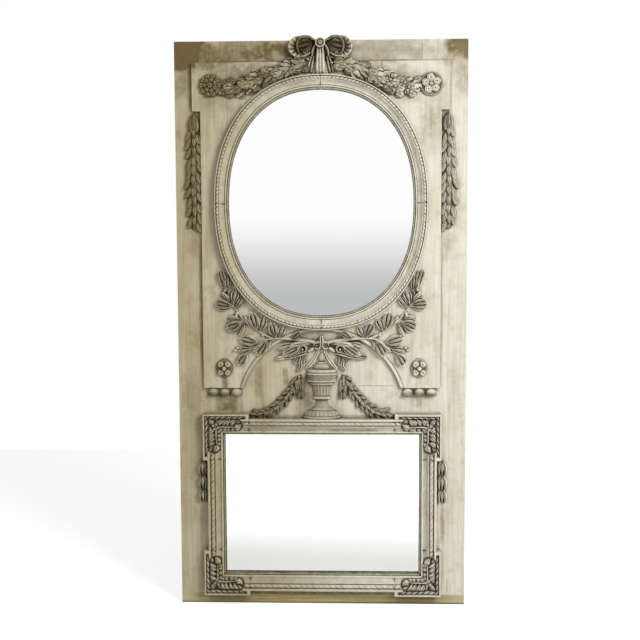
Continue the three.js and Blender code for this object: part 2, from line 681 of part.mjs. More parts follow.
/** Three stacked buds beside the rectangular frame. */
function frameHusk(side) {
  const x = side * (RECT_OUTER_HALF + FIT_GAP + FRAME_HUSK_HALF_WIDTH + 1);
  const bud = FRAME_HUSK_LENGTH / 3;
  const low = FRAME_HUSK_TOP_Z - FRAME_HUSK_LENGTH;
  const pieces = [board(x - 3, x + 3, low + 8, FRAME_HUSK_TOP_Z - 8, CARCASE_FRONT, CARCASE_FRONT + 8)];
  for (let i = 0; i < 3; i += 1) {
    const top = FRAME_HUSK_TOP_Z - i * bud;
    for (const lean of [-10, 10]) {
      pieces.push(leaf([x, top], -90 + lean, bud + 8, FRAME_HUSK_HALF_WIDTH, CARCASE_FRONT, HUSK_RISE));
    }
  }
  const span = [side * (RECT_OUTER_HALF + FIT_GAP), side * HALF_WIDTH].sort((a, b) => a - b);
  const room = board(span[0], span[1], low, FRAME_HUSK_TOP_Z, CARCASE_FRONT, FAR);
  return joined(pieces).intersect(solidOf(room));
}

/** A row of half-round drops under one foot of the field. */
function guttae(side) {
  const outer = FIELD_HALF_LOWER - GUTTA_MARGIN;
  const pieces = [];
  const top = FIELD_FOOT_Z - FIT_GAP;
  for (let i = 0; i < GUTTA_COUNT; i += 1) {
    const x = side * (outer - (i + 0.5) * GUTTA_WIDTH);
    const half = GUTTA_WIDTH / 2 + 0.5;
    const drop = new THREE.CylinderGeometry(0.62 * half, half, GUTTA_HEIGHT, 12);
    drop.scale(1, 1, 1.1).rotateX(Math.PI / 2);
    pieces.push(drop.translate(x, yAt(CARCASE_FRONT), top - GUTTA_HEIGHT / 2));
  }
  return joined(pieces).intersect(inFrontOf(CARCASE_FRONT));
}

// ---------------------------------------------------------------- urn, swags and branches

/** A turned piece of the urn: [radius, height above the frame] points round a flattened axis. */
function turned(points) {
  const profile = points.map(([radius, up]) => new THREE.Vector2(radius, up));
  const geometry = new THREE.LatheGeometry(profile, 20);
  geometry.rotateX(Math.PI / 2).scale(1, URN_RELIEF, 1);
  geometry.translate(0, yAt(CARCASE_FRONT), RECT_OUTER_TOP + FIT_GAP);
  return solidOf(geometry).intersect(inFrontOf(CARCASE_FRONT));
}

/** The urn in three turned lengths: foot and stem, fluted cup with its band, and lid. */
function urn() {
  const foot = URN_FOOT_RADIUS;
  const stem = URN_STEM_RADIUS;
  const cup = URN_CUP_RADIUS;
  const band = URN_BAND_RADIUS;
  const footProfile = [
    [0, 0],
    [foot, 0],
    [foot - 2, 9],
    [foot - 16, 28],
    [stem + 20, 34],
    [stem + 6, 44],
    [stem, 56],
    [stem + 1, 68],
    [0, 68],
  ];
  const bowlProfile = [
    [0, 68 + FIT_GAP],
    [cup + 1, 70],
    [cup + 2, 79],
    [cup - 2, 82],
    [cup + 2, 118],
    [cup + 14, 122],
    [band - 8, 133],
    [band, 136],
    [band, 160],
    [band - 5, 163],
    [band - 3, 176],
    [0, 176],
  ];
  const lidProfile = [
    [0, 176 + FIT_GAP],
    [cup, 176 + FIT_GAP],
    [cup - 5, 190],
    [cup - 13, 196],
    [cup - 14, 201],
    [11, 204],
    [14, 214],
    [10, 226],
    [0, 240],
  ];
  return { urn_foot: turned(footProfile), urn_bowl: turned(bowlProfile), urn_lid: turned(lidProfile) };
}

/** The line between a swag and the husk drop inside it, as [x, z] corners from the top down. */
function swagBoundary() {
  const topZ = RECT_OUTER_TOP + SWAG_TOP_LIFT;
  const outer = SWAG_TOP_X + 16;
  return [[SWAG_TOP_X + 2, topZ], [SWAG_TOP_X + 2, topZ - 14], [outer, topZ - 48], [outer, RECT_OUTER_TOP]];
}

/** A leafy swag from beside the urn down to the frame's ear. */
function swag(side) {
  const topZ = RECT_OUTER_TOP + SWAG_TOP_LIFT;
  const endX = RECT_OUTER_HALF + EAR_STEP - EAR_LENGTH - FIT_GAP;
  const low = RECT_OUTER_TOP + SWAG_HALF_WIDTH + 1;
  const curve = new THREE.CubicBezierCurve(
    new THREE.Vector2(side * (SWAG_TOP_X + 8), topZ - 12),
    new THREE.Vector2(side * (SWAG_TOP_X + 46), low + 36),
    new THREE.Vector2(side * (endX - 92), low + 2),
    new THREE.Vector2(side * (endX - 20), low - 2),
  );
  const run = leafRun({
    curve,
    seat: CARCASE_FRONT,
    halfWidth: SWAG_HALF_WIDTH,
    rise: 0.85 * CARVING_RISE,
    pitch: 0.73 * SWAG_LEAF,
    leafLength: SWAG_LEAF,
    splay: 20,
    core: 0.9,
  });
  const inner = swagBoundary().map(([x, z]) => [side * (x + FIT_GAP), Math.max(z, RECT_OUTER_TOP + FIT_GAP)]);
  const corners = [...inner, [side * endX, RECT_OUTER_TOP + FIT_GAP], [side * endX, topZ]];
  return run.intersect(solidOf(relief(polygon(corners), CARCASE_FRONT, FAR)));
}

/** A short string of husks that hangs beside the urn, inside the swag. */
function huskDrop(side) {
  const topZ = RECT_OUTER_TOP + SWAG_TOP_LIFT;
  const inner = URN_BAND_RADIUS + 2;
  const x = side * (inner + SWAG_TOP_X + 16) / 2;
  const middle = topZ - DROP_LENGTH / 2;
  const curve = splineThrough([[x - side * 3, topZ - 4], [x, middle], [x, topZ - DROP_LENGTH + 14]]);
  const run = leafRun({
    curve,
    seat: CARCASE_FRONT,
    halfWidth: 0.93 * SWAG_HALF_WIDTH,
    rise: 0.75 * CARVING_RISE,
    pitch: 0.8 * SWAG_LEAF,
    leafLength: 1.06 * SWAG_LEAF,
    splay: 12,
  });
  const outer = swagBoundary().map(([cornerX, z]) => [side * cornerX, Math.max(z, topZ - DROP_LENGTH)]);
  const corners = [...outer, [side * inner, topZ - DROP_LENGTH], [side * inner, topZ]];
  return run.intersect(solidOf(relief(polygon(corners), CARCASE_FRONT, FAR)));
}

/** A point outside the oval frame: clockwise degrees from its lowest point, and the distance out. */
function underOval(side, degrees, out) {
  const turn = radians(degrees);
  return [
    side * (OVAL_OUTER_HALF_WIDTH + out) * Math.sin(turn),
    OVAL_CENTRE_Z - (OVAL_OUTER_HALF_HEIGHT + out) * Math.cos(turn),
  ];
}

/** A point over the arch: degrees from its crown, and the distance out. */
function overArch(side, degrees, out) {
  const turn = radians(degrees);
  const reach = ARCH_RADIUS + out;
  return [side * reach * Math.sin(turn), ARCH_CENTRE_Z + reach * Math.cos(turn)];
}

/** Leaves rooted on a stem: each row is [place along the stem, angle, share of the leaf length]. */
function leavesOn(stem, side, rows) {
  return rows.map(([along, angle, share]) => {
    const root = stem.getPointAt(along);
    const turn = side > 0 ? angle : 180 - angle;
    const seat = CARCASE_FRONT + 0.35 * CARVING_RISE;
    return leaf([root.x, root.y], turn, share * LEAF_LENGTH, LEAF_WIDTH, seat, 0.9 * CARVING_RISE);
  });
}

// Each leaf row is [place along the stem, angle in degrees, share of the leaf length].
const CLIMB_LEAVES = [
  [0.1, -12, 1.4],
  [0.12, -34, 1],
  [0.27, 62, 0.9],
  [0.27, 84, 0.8],
  [0.27, 108, 0.8],
  [0.43, 60, 1.05],
  [0.43, 80, 1.05],
  [0.43, 104, 0.95],
  [0.43, 132, 0.85],
  [0.57, -5, 0.76],
  [0.57, -38, 0.76],
  [0.57, -76, 0.76],
  [0.68, 38, 0.95],
  [0.68, 14, 1.1],
  [0.68, -12, 0.95],
  [0.7, 100, 0.8],
  [0.7, 128, 0.66],
  [0.8, 70, 1.5],
  [0.8, 90, 1.1],
];
const SHOOT_LEAVES = [
  [0.3, -1, 1.15],
  [0.3, 28, 0.87],
  [0.1, -40, 1.15],
  [0.55, -22, 0.8],
  [0.78, -30, 0.76],
  [0.78, -72, 0.83],
  [0.9, -50, 0.66],
];

/** The stem that climbs beside the oval: each step is [degrees from the lowest point, share out]. */
function climbCurve(side) {
  const steps = [
    [10, 0.73],
    [14.5, 0.88],
    [19.7, 1.03],
    [24, 1.18],
    [30, 1.23],
    [37.6, 1.23],
    [43.8, 1.15],
    [48.4, 0.98],
    [55, 0.78],
    [61.6, 0.56],
  ];
  const root = [side * 0.8 * KNOT_HALF_WIDTH, KNOT_Z + 0.6 * KNOT_HALF_WIDTH];
  const rest = steps.map(([degrees, share]) => underOval(side, degrees, share * LEAF_LENGTH));
  return splineThrough([root, ...rest]);
}

/** The shoot over the arch, from a point on the stem: each step is [degrees from the crown, share out]. */
function shootCurve(side, joint) {
  const steps = [[37.9, 0.62], [43.5, 0.66], [50.8, 0.8], [56.8, 0.88]];
  const rest = steps.map(([degrees, share]) => overArch(side, degrees, share * LEAF_LENGTH));
  return splineThrough([[joint.x, joint.y], ...rest]);
}

/** A stem that climbs beside the oval, a lower shoot over the arch, and their leaves. */
function branch(side) {
  const climb = climbCurve(side);
  const shoot = shootCurve(side, climb.getPointAt(0.32));
  const taper = (t) => STEM_HALF_WIDTH * (1.25 - 0.6 * t);
  const seat = CARCASE_FRONT;
  const pieces = [
    relief(bandAlong(climb, taper, 22), seat, seat + CARVING_RISE),
    relief(bandAlong(shoot, taper, 8), seat, seat + CARVING_RISE),
    ...leavesOn(climb, side, CLIMB_LEAVES),
    ...leavesOn(shoot, side, SHOOT_LEAVES),
  ];
  const room = [side * (KNOT_HALF_WIDTH + FIT_GAP), side * HALF_WIDTH].sort((a, b) => a - b);
  return seatedOnGround(joined(pieces))
    .subtract(ovalSpace())
    .intersect(solidOf(board(room[0], room[1], 0, PANEL_HEIGHT, 0, FAR)));
}

/** The crossed ribbon over the urn's finial. */
function ribbonKnot() {
  const low = KNOT_Z - 10;
  const half = KNOT_HALF_WIDTH;
  const seat = CARCASE_FRONT;
  const outline = [
    [-half, low + 4],
    [0, low],
    [half, low + 4],
    [half, low + 30],
    [0, low + 46],
    [-half, low + 30],
  ];
  const pieces = [
    relief(polygon(outline), seat, seat + RIBBON_RISE),
    leaf([0, low + 12], 70, 42, 15, seat + 0.6 * RIBBON_RISE, 0.9 * RIBBON_RISE),
    leaf([0, low + 12], 110, 42, 15, seat + 0.6 * RIBBON_RISE, 0.9 * RIBBON_RISE),
  ];
  const room = board(-half, half, low, KNOT_Z + 60, seat, FAR);
  return joined(pieces).intersect(solidOf(room)).subtract(fieldSpace(FIT_GAP));
}

/** A berried head beside the knot, with a ribbon tail running out and a curl running down. */
function ribbonTail(side) {
  const head = [side * 62, KNOT_Z - 12];
  const tail = splineThrough([
    [side * 46, KNOT_Z - 22],
    [side * 112, KNOT_Z - 38],
    [side * 164, KNOT_Z - 46],
  ]);
  const curl = splineThrough([
    [side * 62, KNOT_Z - 22],
    [side * 84, KNOT_Z - 44],
    [side * 66, KNOT_Z - 62],
    [side * SWAG_TOP_X, RECT_OUTER_TOP + SWAG_TOP_LIFT + 5],
  ]);
  const seat = CARCASE_FRONT;
  const pieces = [
    relief(bandAlong(tail, (t) => 9 - 7 * t, 6), seat, seat + RIBBON_RISE),
    relief(bandAlong(curl, () => 5.5, 8), seat, seat + 0.9 * RIBBON_RISE),
    boss(head, HEAD_RADIUS, HEAD_RADIUS, seat + 6, HEAD_RISE, 10),
    boss([side * 38, KNOT_Z - 12], 10, 9, seat + 4, RIBBON_RISE, 6),
  ];
  return joined(pieces).intersect(inFrontOf(seat));
}

// ---------------------------------------------------------------- fixings on the back

/** A steel plate with a keyhole slot, on the back of one stile. */
function hangingPlate(side) {
  const x = side * PLATE_X;
  const half = PLATE_WIDTH / 2;
  const low = PLATE_TOP - PLATE_LENGTH;
  const shape = polygon([[x - half, low], [x + half, low], [x + half, PLATE_TOP], [x - half, PLATE_TOP]]);
  const keyhole = new THREE.Path();
  const middle = PLATE_TOP - PLATE_LENGTH / 2;
  const slot = KEYHOLE_SLOT_RADIUS;
  keyhole.moveTo(x - slot, middle);
  keyhole.lineTo(x - slot, middle + KEYHOLE_LENGTH);
  keyhole.absarc(x, middle + KEYHOLE_LENGTH, slot, Math.PI, 0, true);
  keyhole.lineTo(x + slot, middle);
  keyhole.absarc(x, middle - KEYHOLE_RADIUS / 2, KEYHOLE_RADIUS, radians(60), radians(120), true);
  shape.holes.push(keyhole);
  return relief(shape, CARCASE_BACK - PLATE_THICKNESS, CARCASE_BACK, 6);
}

/** A dome-headed screw in the lower end of one hanging plate. */
function hangingScrew(side) {
  const head = new THREE.CylinderGeometry(SCREW_HEAD_RADIUS, 0.6 * SCREW_HEAD_RADIUS, SCREW_HEAD_HEIGHT, 14);
  const depth = CARCASE_BACK - PLATE_THICKNESS - SCREW_HEAD_HEIGHT / 2;
  const z = PLATE_TOP - PLATE_LENGTH + SCREW_MARGIN;
  return head.rotateX(Math.PI).translate(side * PLATE_X, yAt(depth), z);
}

// ---------------------------------------------------------------- assembly

const trumeau = new THREE.Group();

/** Adds one named piece, from a solid or a geometry, in its finish. */
function addPiece(name, shape, finish) {
  const geometry = shape.isBufferGeometry ? shape : geometryOf(shape);
  const mesh = new THREE.Mesh(geometry, finishes[finish]());
  mesh.name = name;
  trumeau.add(mesh);
}

/** Adds every piece of a named set in one finish. */
function addPieces(pieces, finish) {
  for (const [name, shape] of Object.entries(pieces)) addPiece(name, shape, finish);
}

const { plinth_board, ...ground } = carcase();
addPiece("plinth_board", plinth_board, "plinth");
addPieces(ground, "ground");
addPieces(battens(), "rawWood");
addPieces(fieldBoards(), "field");

addPieces(ovalFrame(), "field");
addPiece("oval_mirror_plate", ovalGlass(), "mirror");
addPiece("oval_back_board", ovalBackBoard(), "rawWood");
addPieces(rectFrameLengths(), "field");
addPiece("rect_mirror_plate", rectPane(RECT_GLASS_BACK, RECT_GLASS_FRONT), "mirror");
addPiece("rect_back_board", rectPane(RECT_GLASS_BACK - BACK_BOARD_THICKNESS, RECT_GLASS_BACK), "rawWood");

addPiece("bow_tie", bowTie(), "carving");
addPieces(urn(), "carving");
addPiece("ribbon_knot", ribbonKnot(), "carving");

for (const [name, side] of [["left", -1], ["right", 1]]) {
  addPiece(`frame_corner_top_${name}`, framedCorner(side, 1), "carving");
  addPiece(`frame_corner_bottom_${name}`, framedCorner(side, -1), "carving");
  addPiece(`bow_loop_${name}`, bowLoop(side), "carving");
  addPiece(`laurel_garland_${name}`, laurelGarland(side), "carving");
  addPiece(`top_rosette_${name}`, topRosette(side), "carving");
  addPiece(`side_garland_${name}`, sideGarland(side), "carving");
  addPiece(`foot_rosette_${name}`, footRosette(side), "carving");
  addPiece(`guttae_${name}`, guttae(side), "carving");
  addPiece(`frame_husk_${name}`, frameHusk(side), "carving");
  addPiece(`swag_${name}`, swag(side), "carving");
  addPiece(`husk_drop_${name}`, huskDrop(side), "carving");
  addPiece(`branch_${name}`, branch(side), "carving");
  addPiece(`ribbon_tail_${name}`, ribbonTail(side), "carving");
  addPiece(`hanging_plate_${name}`, hangingPlate(side), "steel");
  addPiece(`hanging_screw_${name}`, hangingScrew(side), "steel");
}

export default trumeau;
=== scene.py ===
"""A tall painted trumeau panel with an oval mirror, a rectangular mirror and carved classical ornament."""

import functools

import bmesh
import bpy
import numpy as np
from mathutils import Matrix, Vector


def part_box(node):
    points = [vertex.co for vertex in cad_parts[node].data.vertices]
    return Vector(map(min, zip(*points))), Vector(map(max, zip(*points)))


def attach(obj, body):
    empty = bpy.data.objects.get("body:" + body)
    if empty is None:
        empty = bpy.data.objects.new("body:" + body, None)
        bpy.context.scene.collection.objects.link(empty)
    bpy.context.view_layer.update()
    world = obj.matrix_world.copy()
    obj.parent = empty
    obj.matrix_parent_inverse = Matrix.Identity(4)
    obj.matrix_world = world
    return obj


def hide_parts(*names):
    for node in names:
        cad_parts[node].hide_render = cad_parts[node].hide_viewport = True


bl_info = {
    "name": "Trumeau Mirror",
    "version": (1, 0, 0),
    "blender": (4, 5, 0),
    "location": "View3D > Sidebar > Trumeau",
    "description": "Carved and painted surfaces for a trumeau panel with two mirrors",
    "category": "Object",
}

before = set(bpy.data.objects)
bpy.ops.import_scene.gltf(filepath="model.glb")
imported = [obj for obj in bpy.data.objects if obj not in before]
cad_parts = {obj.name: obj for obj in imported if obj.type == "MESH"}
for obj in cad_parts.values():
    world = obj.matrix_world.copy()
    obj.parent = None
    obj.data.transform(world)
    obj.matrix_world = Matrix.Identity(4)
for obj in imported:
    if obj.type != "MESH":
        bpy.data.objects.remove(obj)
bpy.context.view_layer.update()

MM = 0.001
SIDES = (("left", -1), ("right", 1))
# Where the ground boards' front lies on y, and how far the field stands in front of it, in millimetres.
GROUND_Y = -12.0
FIELD_OUT = 12.0
# The frames' sections in millimetres: widths and lines are measured out from the sight edge.
OVAL_WIDTH, OVAL_RISE, OVAL_BAND_LINE, OVAL_GLASS_OUT = 48.5, 26.0, 38.0, 4.3
LOWER_WIDTH, LOWER_PEARL_OUT = 60.0, 5.6
PEARL_LINE = 3.9
# The oval's exponent, where 2 would be an ellipse.
OVAL_FULLNESS = 2.24
# A quarter of the oval frame's length, by which its cuts are counted.
OVAL_QUARTER = 620.0
ARCH_HALF, ARCH_RISE = 278.0, 204.0
BOW_BUTTON_BELOW_TOP = 14.0


def reach(*nodes):
    """The lowest and highest (x, y, z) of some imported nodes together, in millimetres."""
    boxes = np.array([[list(low), list(high)] for low, high in (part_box(n) for n in nodes)]) / MM
    return boxes[:, 0].min(axis=0), boxes[:, 1].max(axis=0)


def node_at(name, side):
    """The name of a node's left (-1) or right (1) one."""
    return f"{name}_{'left' if side < 0 else 'right'}"


def beside(name, side):
    """A left or right node's middle distance from the axis, its foot and its top, in millimetres."""
    low, high = reach(node_at(name, side))
    return 0.5 * (abs(low[0]) + abs(high[0])), low[2], high[2]


PANEL_TOP = reach("plinth_board", "stile_left", "stile_right")[1][2]
OVAL_LOW, OVAL_HIGH = reach(*[f"oval_frame_{end}_{side}" for end in ("top", "bottom")
                              for side in ("left", "right")])
RECT_LOW, RECT_HIGH = reach(*[f"rect_frame_{side}" for side in ("top", "bottom", "left", "right")])
OVAL_CENTRE_Z = (OVAL_LOW[2] + OVAL_HIGH[2]) / 2
OVAL_HALF = np.array([OVAL_HIGH[0], (OVAL_HIGH[2] - OVAL_LOW[2]) / 2])


# ---------------------------------------------------------------- sizes and colours a user may change


def length(name, description, default, low, high):
    """A length in millimetres."""
    return bpy.props.FloatProperty(name=name, description=description, default=default, min=low, max=high)


def share(name, description, default):
    """A share from 0 to 1."""
    return bpy.props.FloatProperty(
        name=name, description=description, default=default, min=0.0, max=1.0, subtype="FACTOR")


def colour(name, description, default):
    """A linear colour."""
    return bpy.props.FloatVectorProperty(
        name=name, description=description, default=default, size=3, min=0.0, max=1.0, subtype="COLOR")


class TrumeauCarving(bpy.types.PropertyGroup):
    """Sizes of the carved detail."""

    pearl_radius: length("Pearl Radius", "Radius of a pearl on a sight edge, in millimetres", 2.8, 1.0, 5.0)
    pearl_pitch: length("Pearl Pitch", "Distance between pearls, in millimetres", 6.0, 3.0, 12.0)
    oval_band_pitch: length("Oval Band Pitch", "Repeat of the oval frame's carved band, in millimetres", 13.6, 6.0,
                            30.0)
    rect_band_pitch: length("Rectangle Band Pitch", "Repeat of the lower frame's band, in millimetres", 20.5, 8.0,
                            40.0)
    band_depth: length("Band Depth", "Depth of the cuts in the carved bands, in millimetres", 5.0, 0.5, 8.0)
    joint_gap: length("Joint Gap", "Open joint between lengths of oval frame, in millimetres", 1.4, 0.0, 3.0)
    laurel_length: length("Laurel Leaf", "Length of a laurel leaf in the garlands, in millimetres", 47.0, 20.0,
                          80.0)
    husk_length: length("Husk Leaf", "Length of a leaf in the side garlands, in millimetres", 58.0, 20.0, 90.0)


class TrumeauPaint(bpy.types.PropertyGroup):
    """Colours and wear of the old paint, and the painted shade that some of them also draw."""

    # Cream and drab are the ends of a ramp across the panel. The ramp is partly the paint's own tone and partly
    # painted shade, darker to the left where the light falls off.
    cream: colour("Cream", "Paint where it has stayed light", (0.63, 0.60, 0.505))
    drab_and_shade: colour("Drab", "Paint where it has gone dull", (0.360, 0.306, 0.176))
    # The grime colour is used for dark specks, and for dirt together with painted shade in hollows and closed-in
    # places.
    grime_and_shade: colour("Grime", "Dirt in the hollows", (0.046, 0.034, 0.014))
    # The stain colour is also used for painted shadows beside raised parts, and for a wash that is partly painted
    # shade.
    stain_and_shadow: colour("Stain", "Olive brown patches", (0.122, 0.090, 0.032))
    rust: colour("Rust", "Brown runs under the carving", (0.240, 0.184, 0.096))
    plinth: colour("Plinth", "Paint of the plinth board", (0.36, 0.30, 0.13))
    wood: colour("Bare Wood", "Unpainted timber of the back", (0.17, 0.10, 0.05))
    edge: colour("Worn Edge", "Timber where paint has worn off an edge", (0.30, 0.17, 0.07))
    # This share sets the dirt and the painted shade in hollows together.
    grime_and_shade_amount: share("Grime Amount", "How much dirt lies in the hollows", 0.93)


class TrumeauStage(bpy.types.PropertyGroup):
    """Light and setting."""

    key_power: bpy.props.FloatProperty(
        name="Key Light", description="Power of the main lamp", default=168.0, min=0.0, unit="POWER")
    fill_power: bpy.props.FloatProperty(
        name="Fill Light", description="Power of the softer lamp", default=16.0, min=0.0, unit="POWER")
    ambient: share("Ambient Light", "Strength of the light from all round", 0.46)


# ---------------------------------------------------------------- surfaces


class Surface:
    """Points as (x, out, z) in millimetres, four-sided faces, and a relief value at each point.

    "out" is the distance in front of the ground boards. Relief runs from 0 in a hollow, through 0.5, to 1 on
    a crest.
    """

    def __init__(self, points, faces, relief):
        self.points = np.asarray(points, float).reshape(-1, 3)
        self.faces = np.asarray(faces, int).reshape(-1, 4)
        self.relief = np.broadcast_to(np.asarray(relief, float).ravel(), (len(self.points),)).copy()

    def mirrored(self, side):
        """The same surface on the left (-1) or on the right (1)."""
        return Surface(self.points * np.array([side, 1.0, 1.0]), self.faces, self.relief)


def grid_faces(rows, cols):
    """Faces of a grid whose columns close on themselves.

    Each joins a point, the next in its row, and the two in the row after.
    """
    first = np.arange(rows - 1)[:, None] * cols
    here = np.arange(cols)[None, :]
    after = (here + 1) % cols
    faces = np.stack([first + here, first + after, first + cols + after, first + cols + here], axis=-1)
    return faces.reshape(-1, 4)


def joined(surfaces):
    """Several surfaces as one: the faces of each are numbered on from the points before."""
    starts = np.cumsum([0] + [len(s.points) for s in surfaces[:-1]])
    return Surface(
        np.concatenate([s.points for s in surfaces]),
        np.concatenate([s.faces + start for s, start in zip(surfaces, starts)]),
        np.concatenate([s.relief for s in surfaces]))


def capped(rings, relief):
    """A closed skin over rows of points: the first and last rows are drawn in to their own middles."""
    first = np.broadcast_to(rings[:1].mean(axis=1, keepdims=True), rings[:1].shape)
    last = np.broadcast_to(rings[-1:].mean(axis=1, keepdims=True), rings[-1:].shape)
    rings = np.concatenate([first, rings, last])
    relief = np.concatenate([relief[:1], relief, relief[-1:]])
    return Surface(rings, grid_faces(rings.shape[0], rings.shape[1]), relief)


def directions(line):
    """The unit direction of a line of (x, z) points at each point, and the normal to its left."""
    along = np.gradient(line, axis=0)
    along /= np.linalg.norm(along, axis=1, keepdims=True)
    return along, np.stack([-along[:, 1], along[:, 0]], axis=1)


def smooth_line(points, count):
    """A smooth line of evenly spaced points through a few given ones.

    Each span between two points is a Catmull-Rom cubic, and the result is sampled evenly by length.
    """
    p = np.asarray(points, float)
    p = np.concatenate([2 * p[:1] - p[1:2], p, 2 * p[-1:] - p[-2:-1]])
    t = np.linspace(0, 1, 24, endpoint=False)[None, :, None]
    a, b, c, d = (p[i:len(p) - 3 + i][:, None, :] for i in range(4))
    spans = 0.5 * (2 * b + (c - a) * t + (2 * a - 5 * b + 4 * c - d) * t**2 + (3 * b - a - 3 * c + d) * t**3)
    dense = np.concatenate([spans.reshape(-1, p.shape[1]), p[-2:-1]])
    run = np.concatenate([[0], np.cumsum(np.linalg.norm(np.diff(dense, axis=0), axis=1))])
    even = np.linspace(0, run[-1], count)
    return np.stack([np.interp(even, run, dense[:, k]) for k in range(p.shape[1])], axis=1)


# Points closer than the first distance are merged and edges shorter than the second dissolved, in metres.
MERGE_WITHIN, DISSOLVE_BELOW = 2e-6, 1e-7
# Edges sharper than these stay sharp, in degrees: on carving, and on turned forms.
CARVED_CREASE, TURNED_CREASE = 38.0, 50.0


def make_piece(name, surfaces, material, slot, *nodes, crease=CARVED_CREASE):
    """One mesh object from surfaces: doubles are merged, faces turned outwards, and it stands for the nodes."""
    whole = joined(surfaces)
    x, out, z = whole.points.T
    places = np.stack([x, GROUND_Y - out, z], axis=1) * MM
    mesh = bpy.data.meshes.new(name)
    mesh.vertices.add(len(places))
    mesh.vertices.foreach_set("co", places.astype(np.float32).ravel())
    mesh.loops.add(whole.faces.size)
    mesh.loops.foreach_set("vertex_index", whole.faces.astype(np.int32).ravel())
    mesh.polygons.add(len(whole.faces))
    mesh.polygons.foreach_set("loop_start", np.arange(0, whole.faces.size, 4, dtype=np.int32))
    mesh.update(calc_edges=True)
    relief = mesh.attributes.new("relief", "FLOAT", "POINT")
    relief.data.foreach_set("value", whole.relief.astype(np.float32))
    shell = bmesh.new()
    shell.from_mesh(mesh)
    bmesh.ops.remove_doubles(shell, verts=shell.verts, dist=MERGE_WITHIN)
    bmesh.ops.dissolve_degenerate(shell, edges=shell.edges, dist=DISSOLVE_BELOW)
    bmesh.ops.recalc_face_normals(shell, faces=shell.faces)
    shell.to_mesh(mesh)
    shell.free()
    mesh.polygons.foreach_set("use_smooth", np.ones(len(mesh.polygons), bool))
    mesh.set_sharp_from_angle(angle=np.radians(crease))
    mesh.materials.append(material)
    piece = bpy.data.objects.new(name, mesh)
    bpy.context.scene.collection.objects.link(piece)
    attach(piece, "root")
    if nodes:
        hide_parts(*nodes)
    return piece


# ---------------------------------------------------------------- leaves, stems, pearls and flowers


def outline_of(kind, s):
    """A leaf's half width from root to tip, as a share of its greatest: one formula for each kind of leaf."""
    if kind == "laurel":
        return np.sin(np.pi * s**0.85) ** 0.8
    if kind == "round":
        return np.clip(np.sin(np.pi * s**1.3), 0, 1) ** 0.55 * (0.5 + 0.5 * np.clip(s / 0.35, 0, 1))
    if kind == "husk":
        return np.clip(s / 0.5, 0, 1) ** 0.5 * np.clip(np.clip(1 - s, 0, 1) / 0.5, 0, 1) ** 0.65
    raise ValueError(f"no leaf of kind {kind}")


VEIN_DEPTH = 0.16


def leaf(size, width, rise, under, kind="laurel", bow=0.0, curl=0.0, veins=5, rows=18):
    """A carved leaf lying along its own length: returns (along, across, height) rows, and relief.

    s runs from root to tip and t across from -1 to 1. A point stands width/2 * outline(s) * t from a midline
    that bows sideways by bow * sin(pi s). Its height is a spine that rises and falls as a sine of s and turns
    up by curl * s cubed, less a share of |t| to the power 2.2, a groove along the midrib, and grooves where the
    cosine of veins * (s - 0.3 |t|) is low. Two last points in each row lie below, drawn in under the edge.
    """
    s = np.linspace(0, 1, rows)[:, None]
    t = np.linspace(-1, 1, 9)[None, :]
    half = 0.5 * width * outline_of(kind, s)
    ends = np.clip(np.minimum(s, 1 - s) / 0.08, 0, 1)
    spine = 0.34 + 0.66 * np.clip(np.sin(np.pi * (0.06 + 0.82 * s)), 0, 1) ** 0.9 + curl * s**3
    midrib = np.exp(-(t / 0.15) ** 2) * np.clip((1 - s) / 0.25, 0, 1)
    wave = 0.5 + 0.5 * np.cos(2 * np.pi * veins * (s - 0.3 * np.abs(t)))
    groove = (1 - wave) ** 3 * np.clip(np.abs(t) * 3 - 0.3, 0, 1)
    fall = 0.46 * np.abs(t) ** 2.2 + 0.26 * midrib + VEIN_DEPTH * groove
    relief = 0.52 + 0.42 * ends * (1 - np.abs(t)) * (1 - midrib) - 0.42 * midrib - 0.34 * groove
    relief = relief - 0.35 * np.clip(1 - s / 0.25, 0, 1) - 0.12 * np.abs(t) ** 4
    return leaf_rows(size * s * np.ones_like(t), half * t, rise * (spine - ends * fall), relief,
                     size * s, 0.72 * half, bow * np.sin(np.pi * s), under, 0.08)


def leaf_rows(along, across, height, relief, below, half, bend, under, dark):
    """Rows of a leaf's upper side, bent sideways, each closed by two dark points at a half width below."""
    low = np.full_like(below, -under)
    feet = [np.concatenate([below, side * half + bend, low], axis=1)[:, None, :] for side in (1, -1)]
    rings = np.concatenate([np.stack([along, across + bend, height], axis=-1), *feet], axis=1)
    return rings, np.concatenate([np.clip(relief, 0, 1), np.full((len(rings), 2), dark)], axis=1)


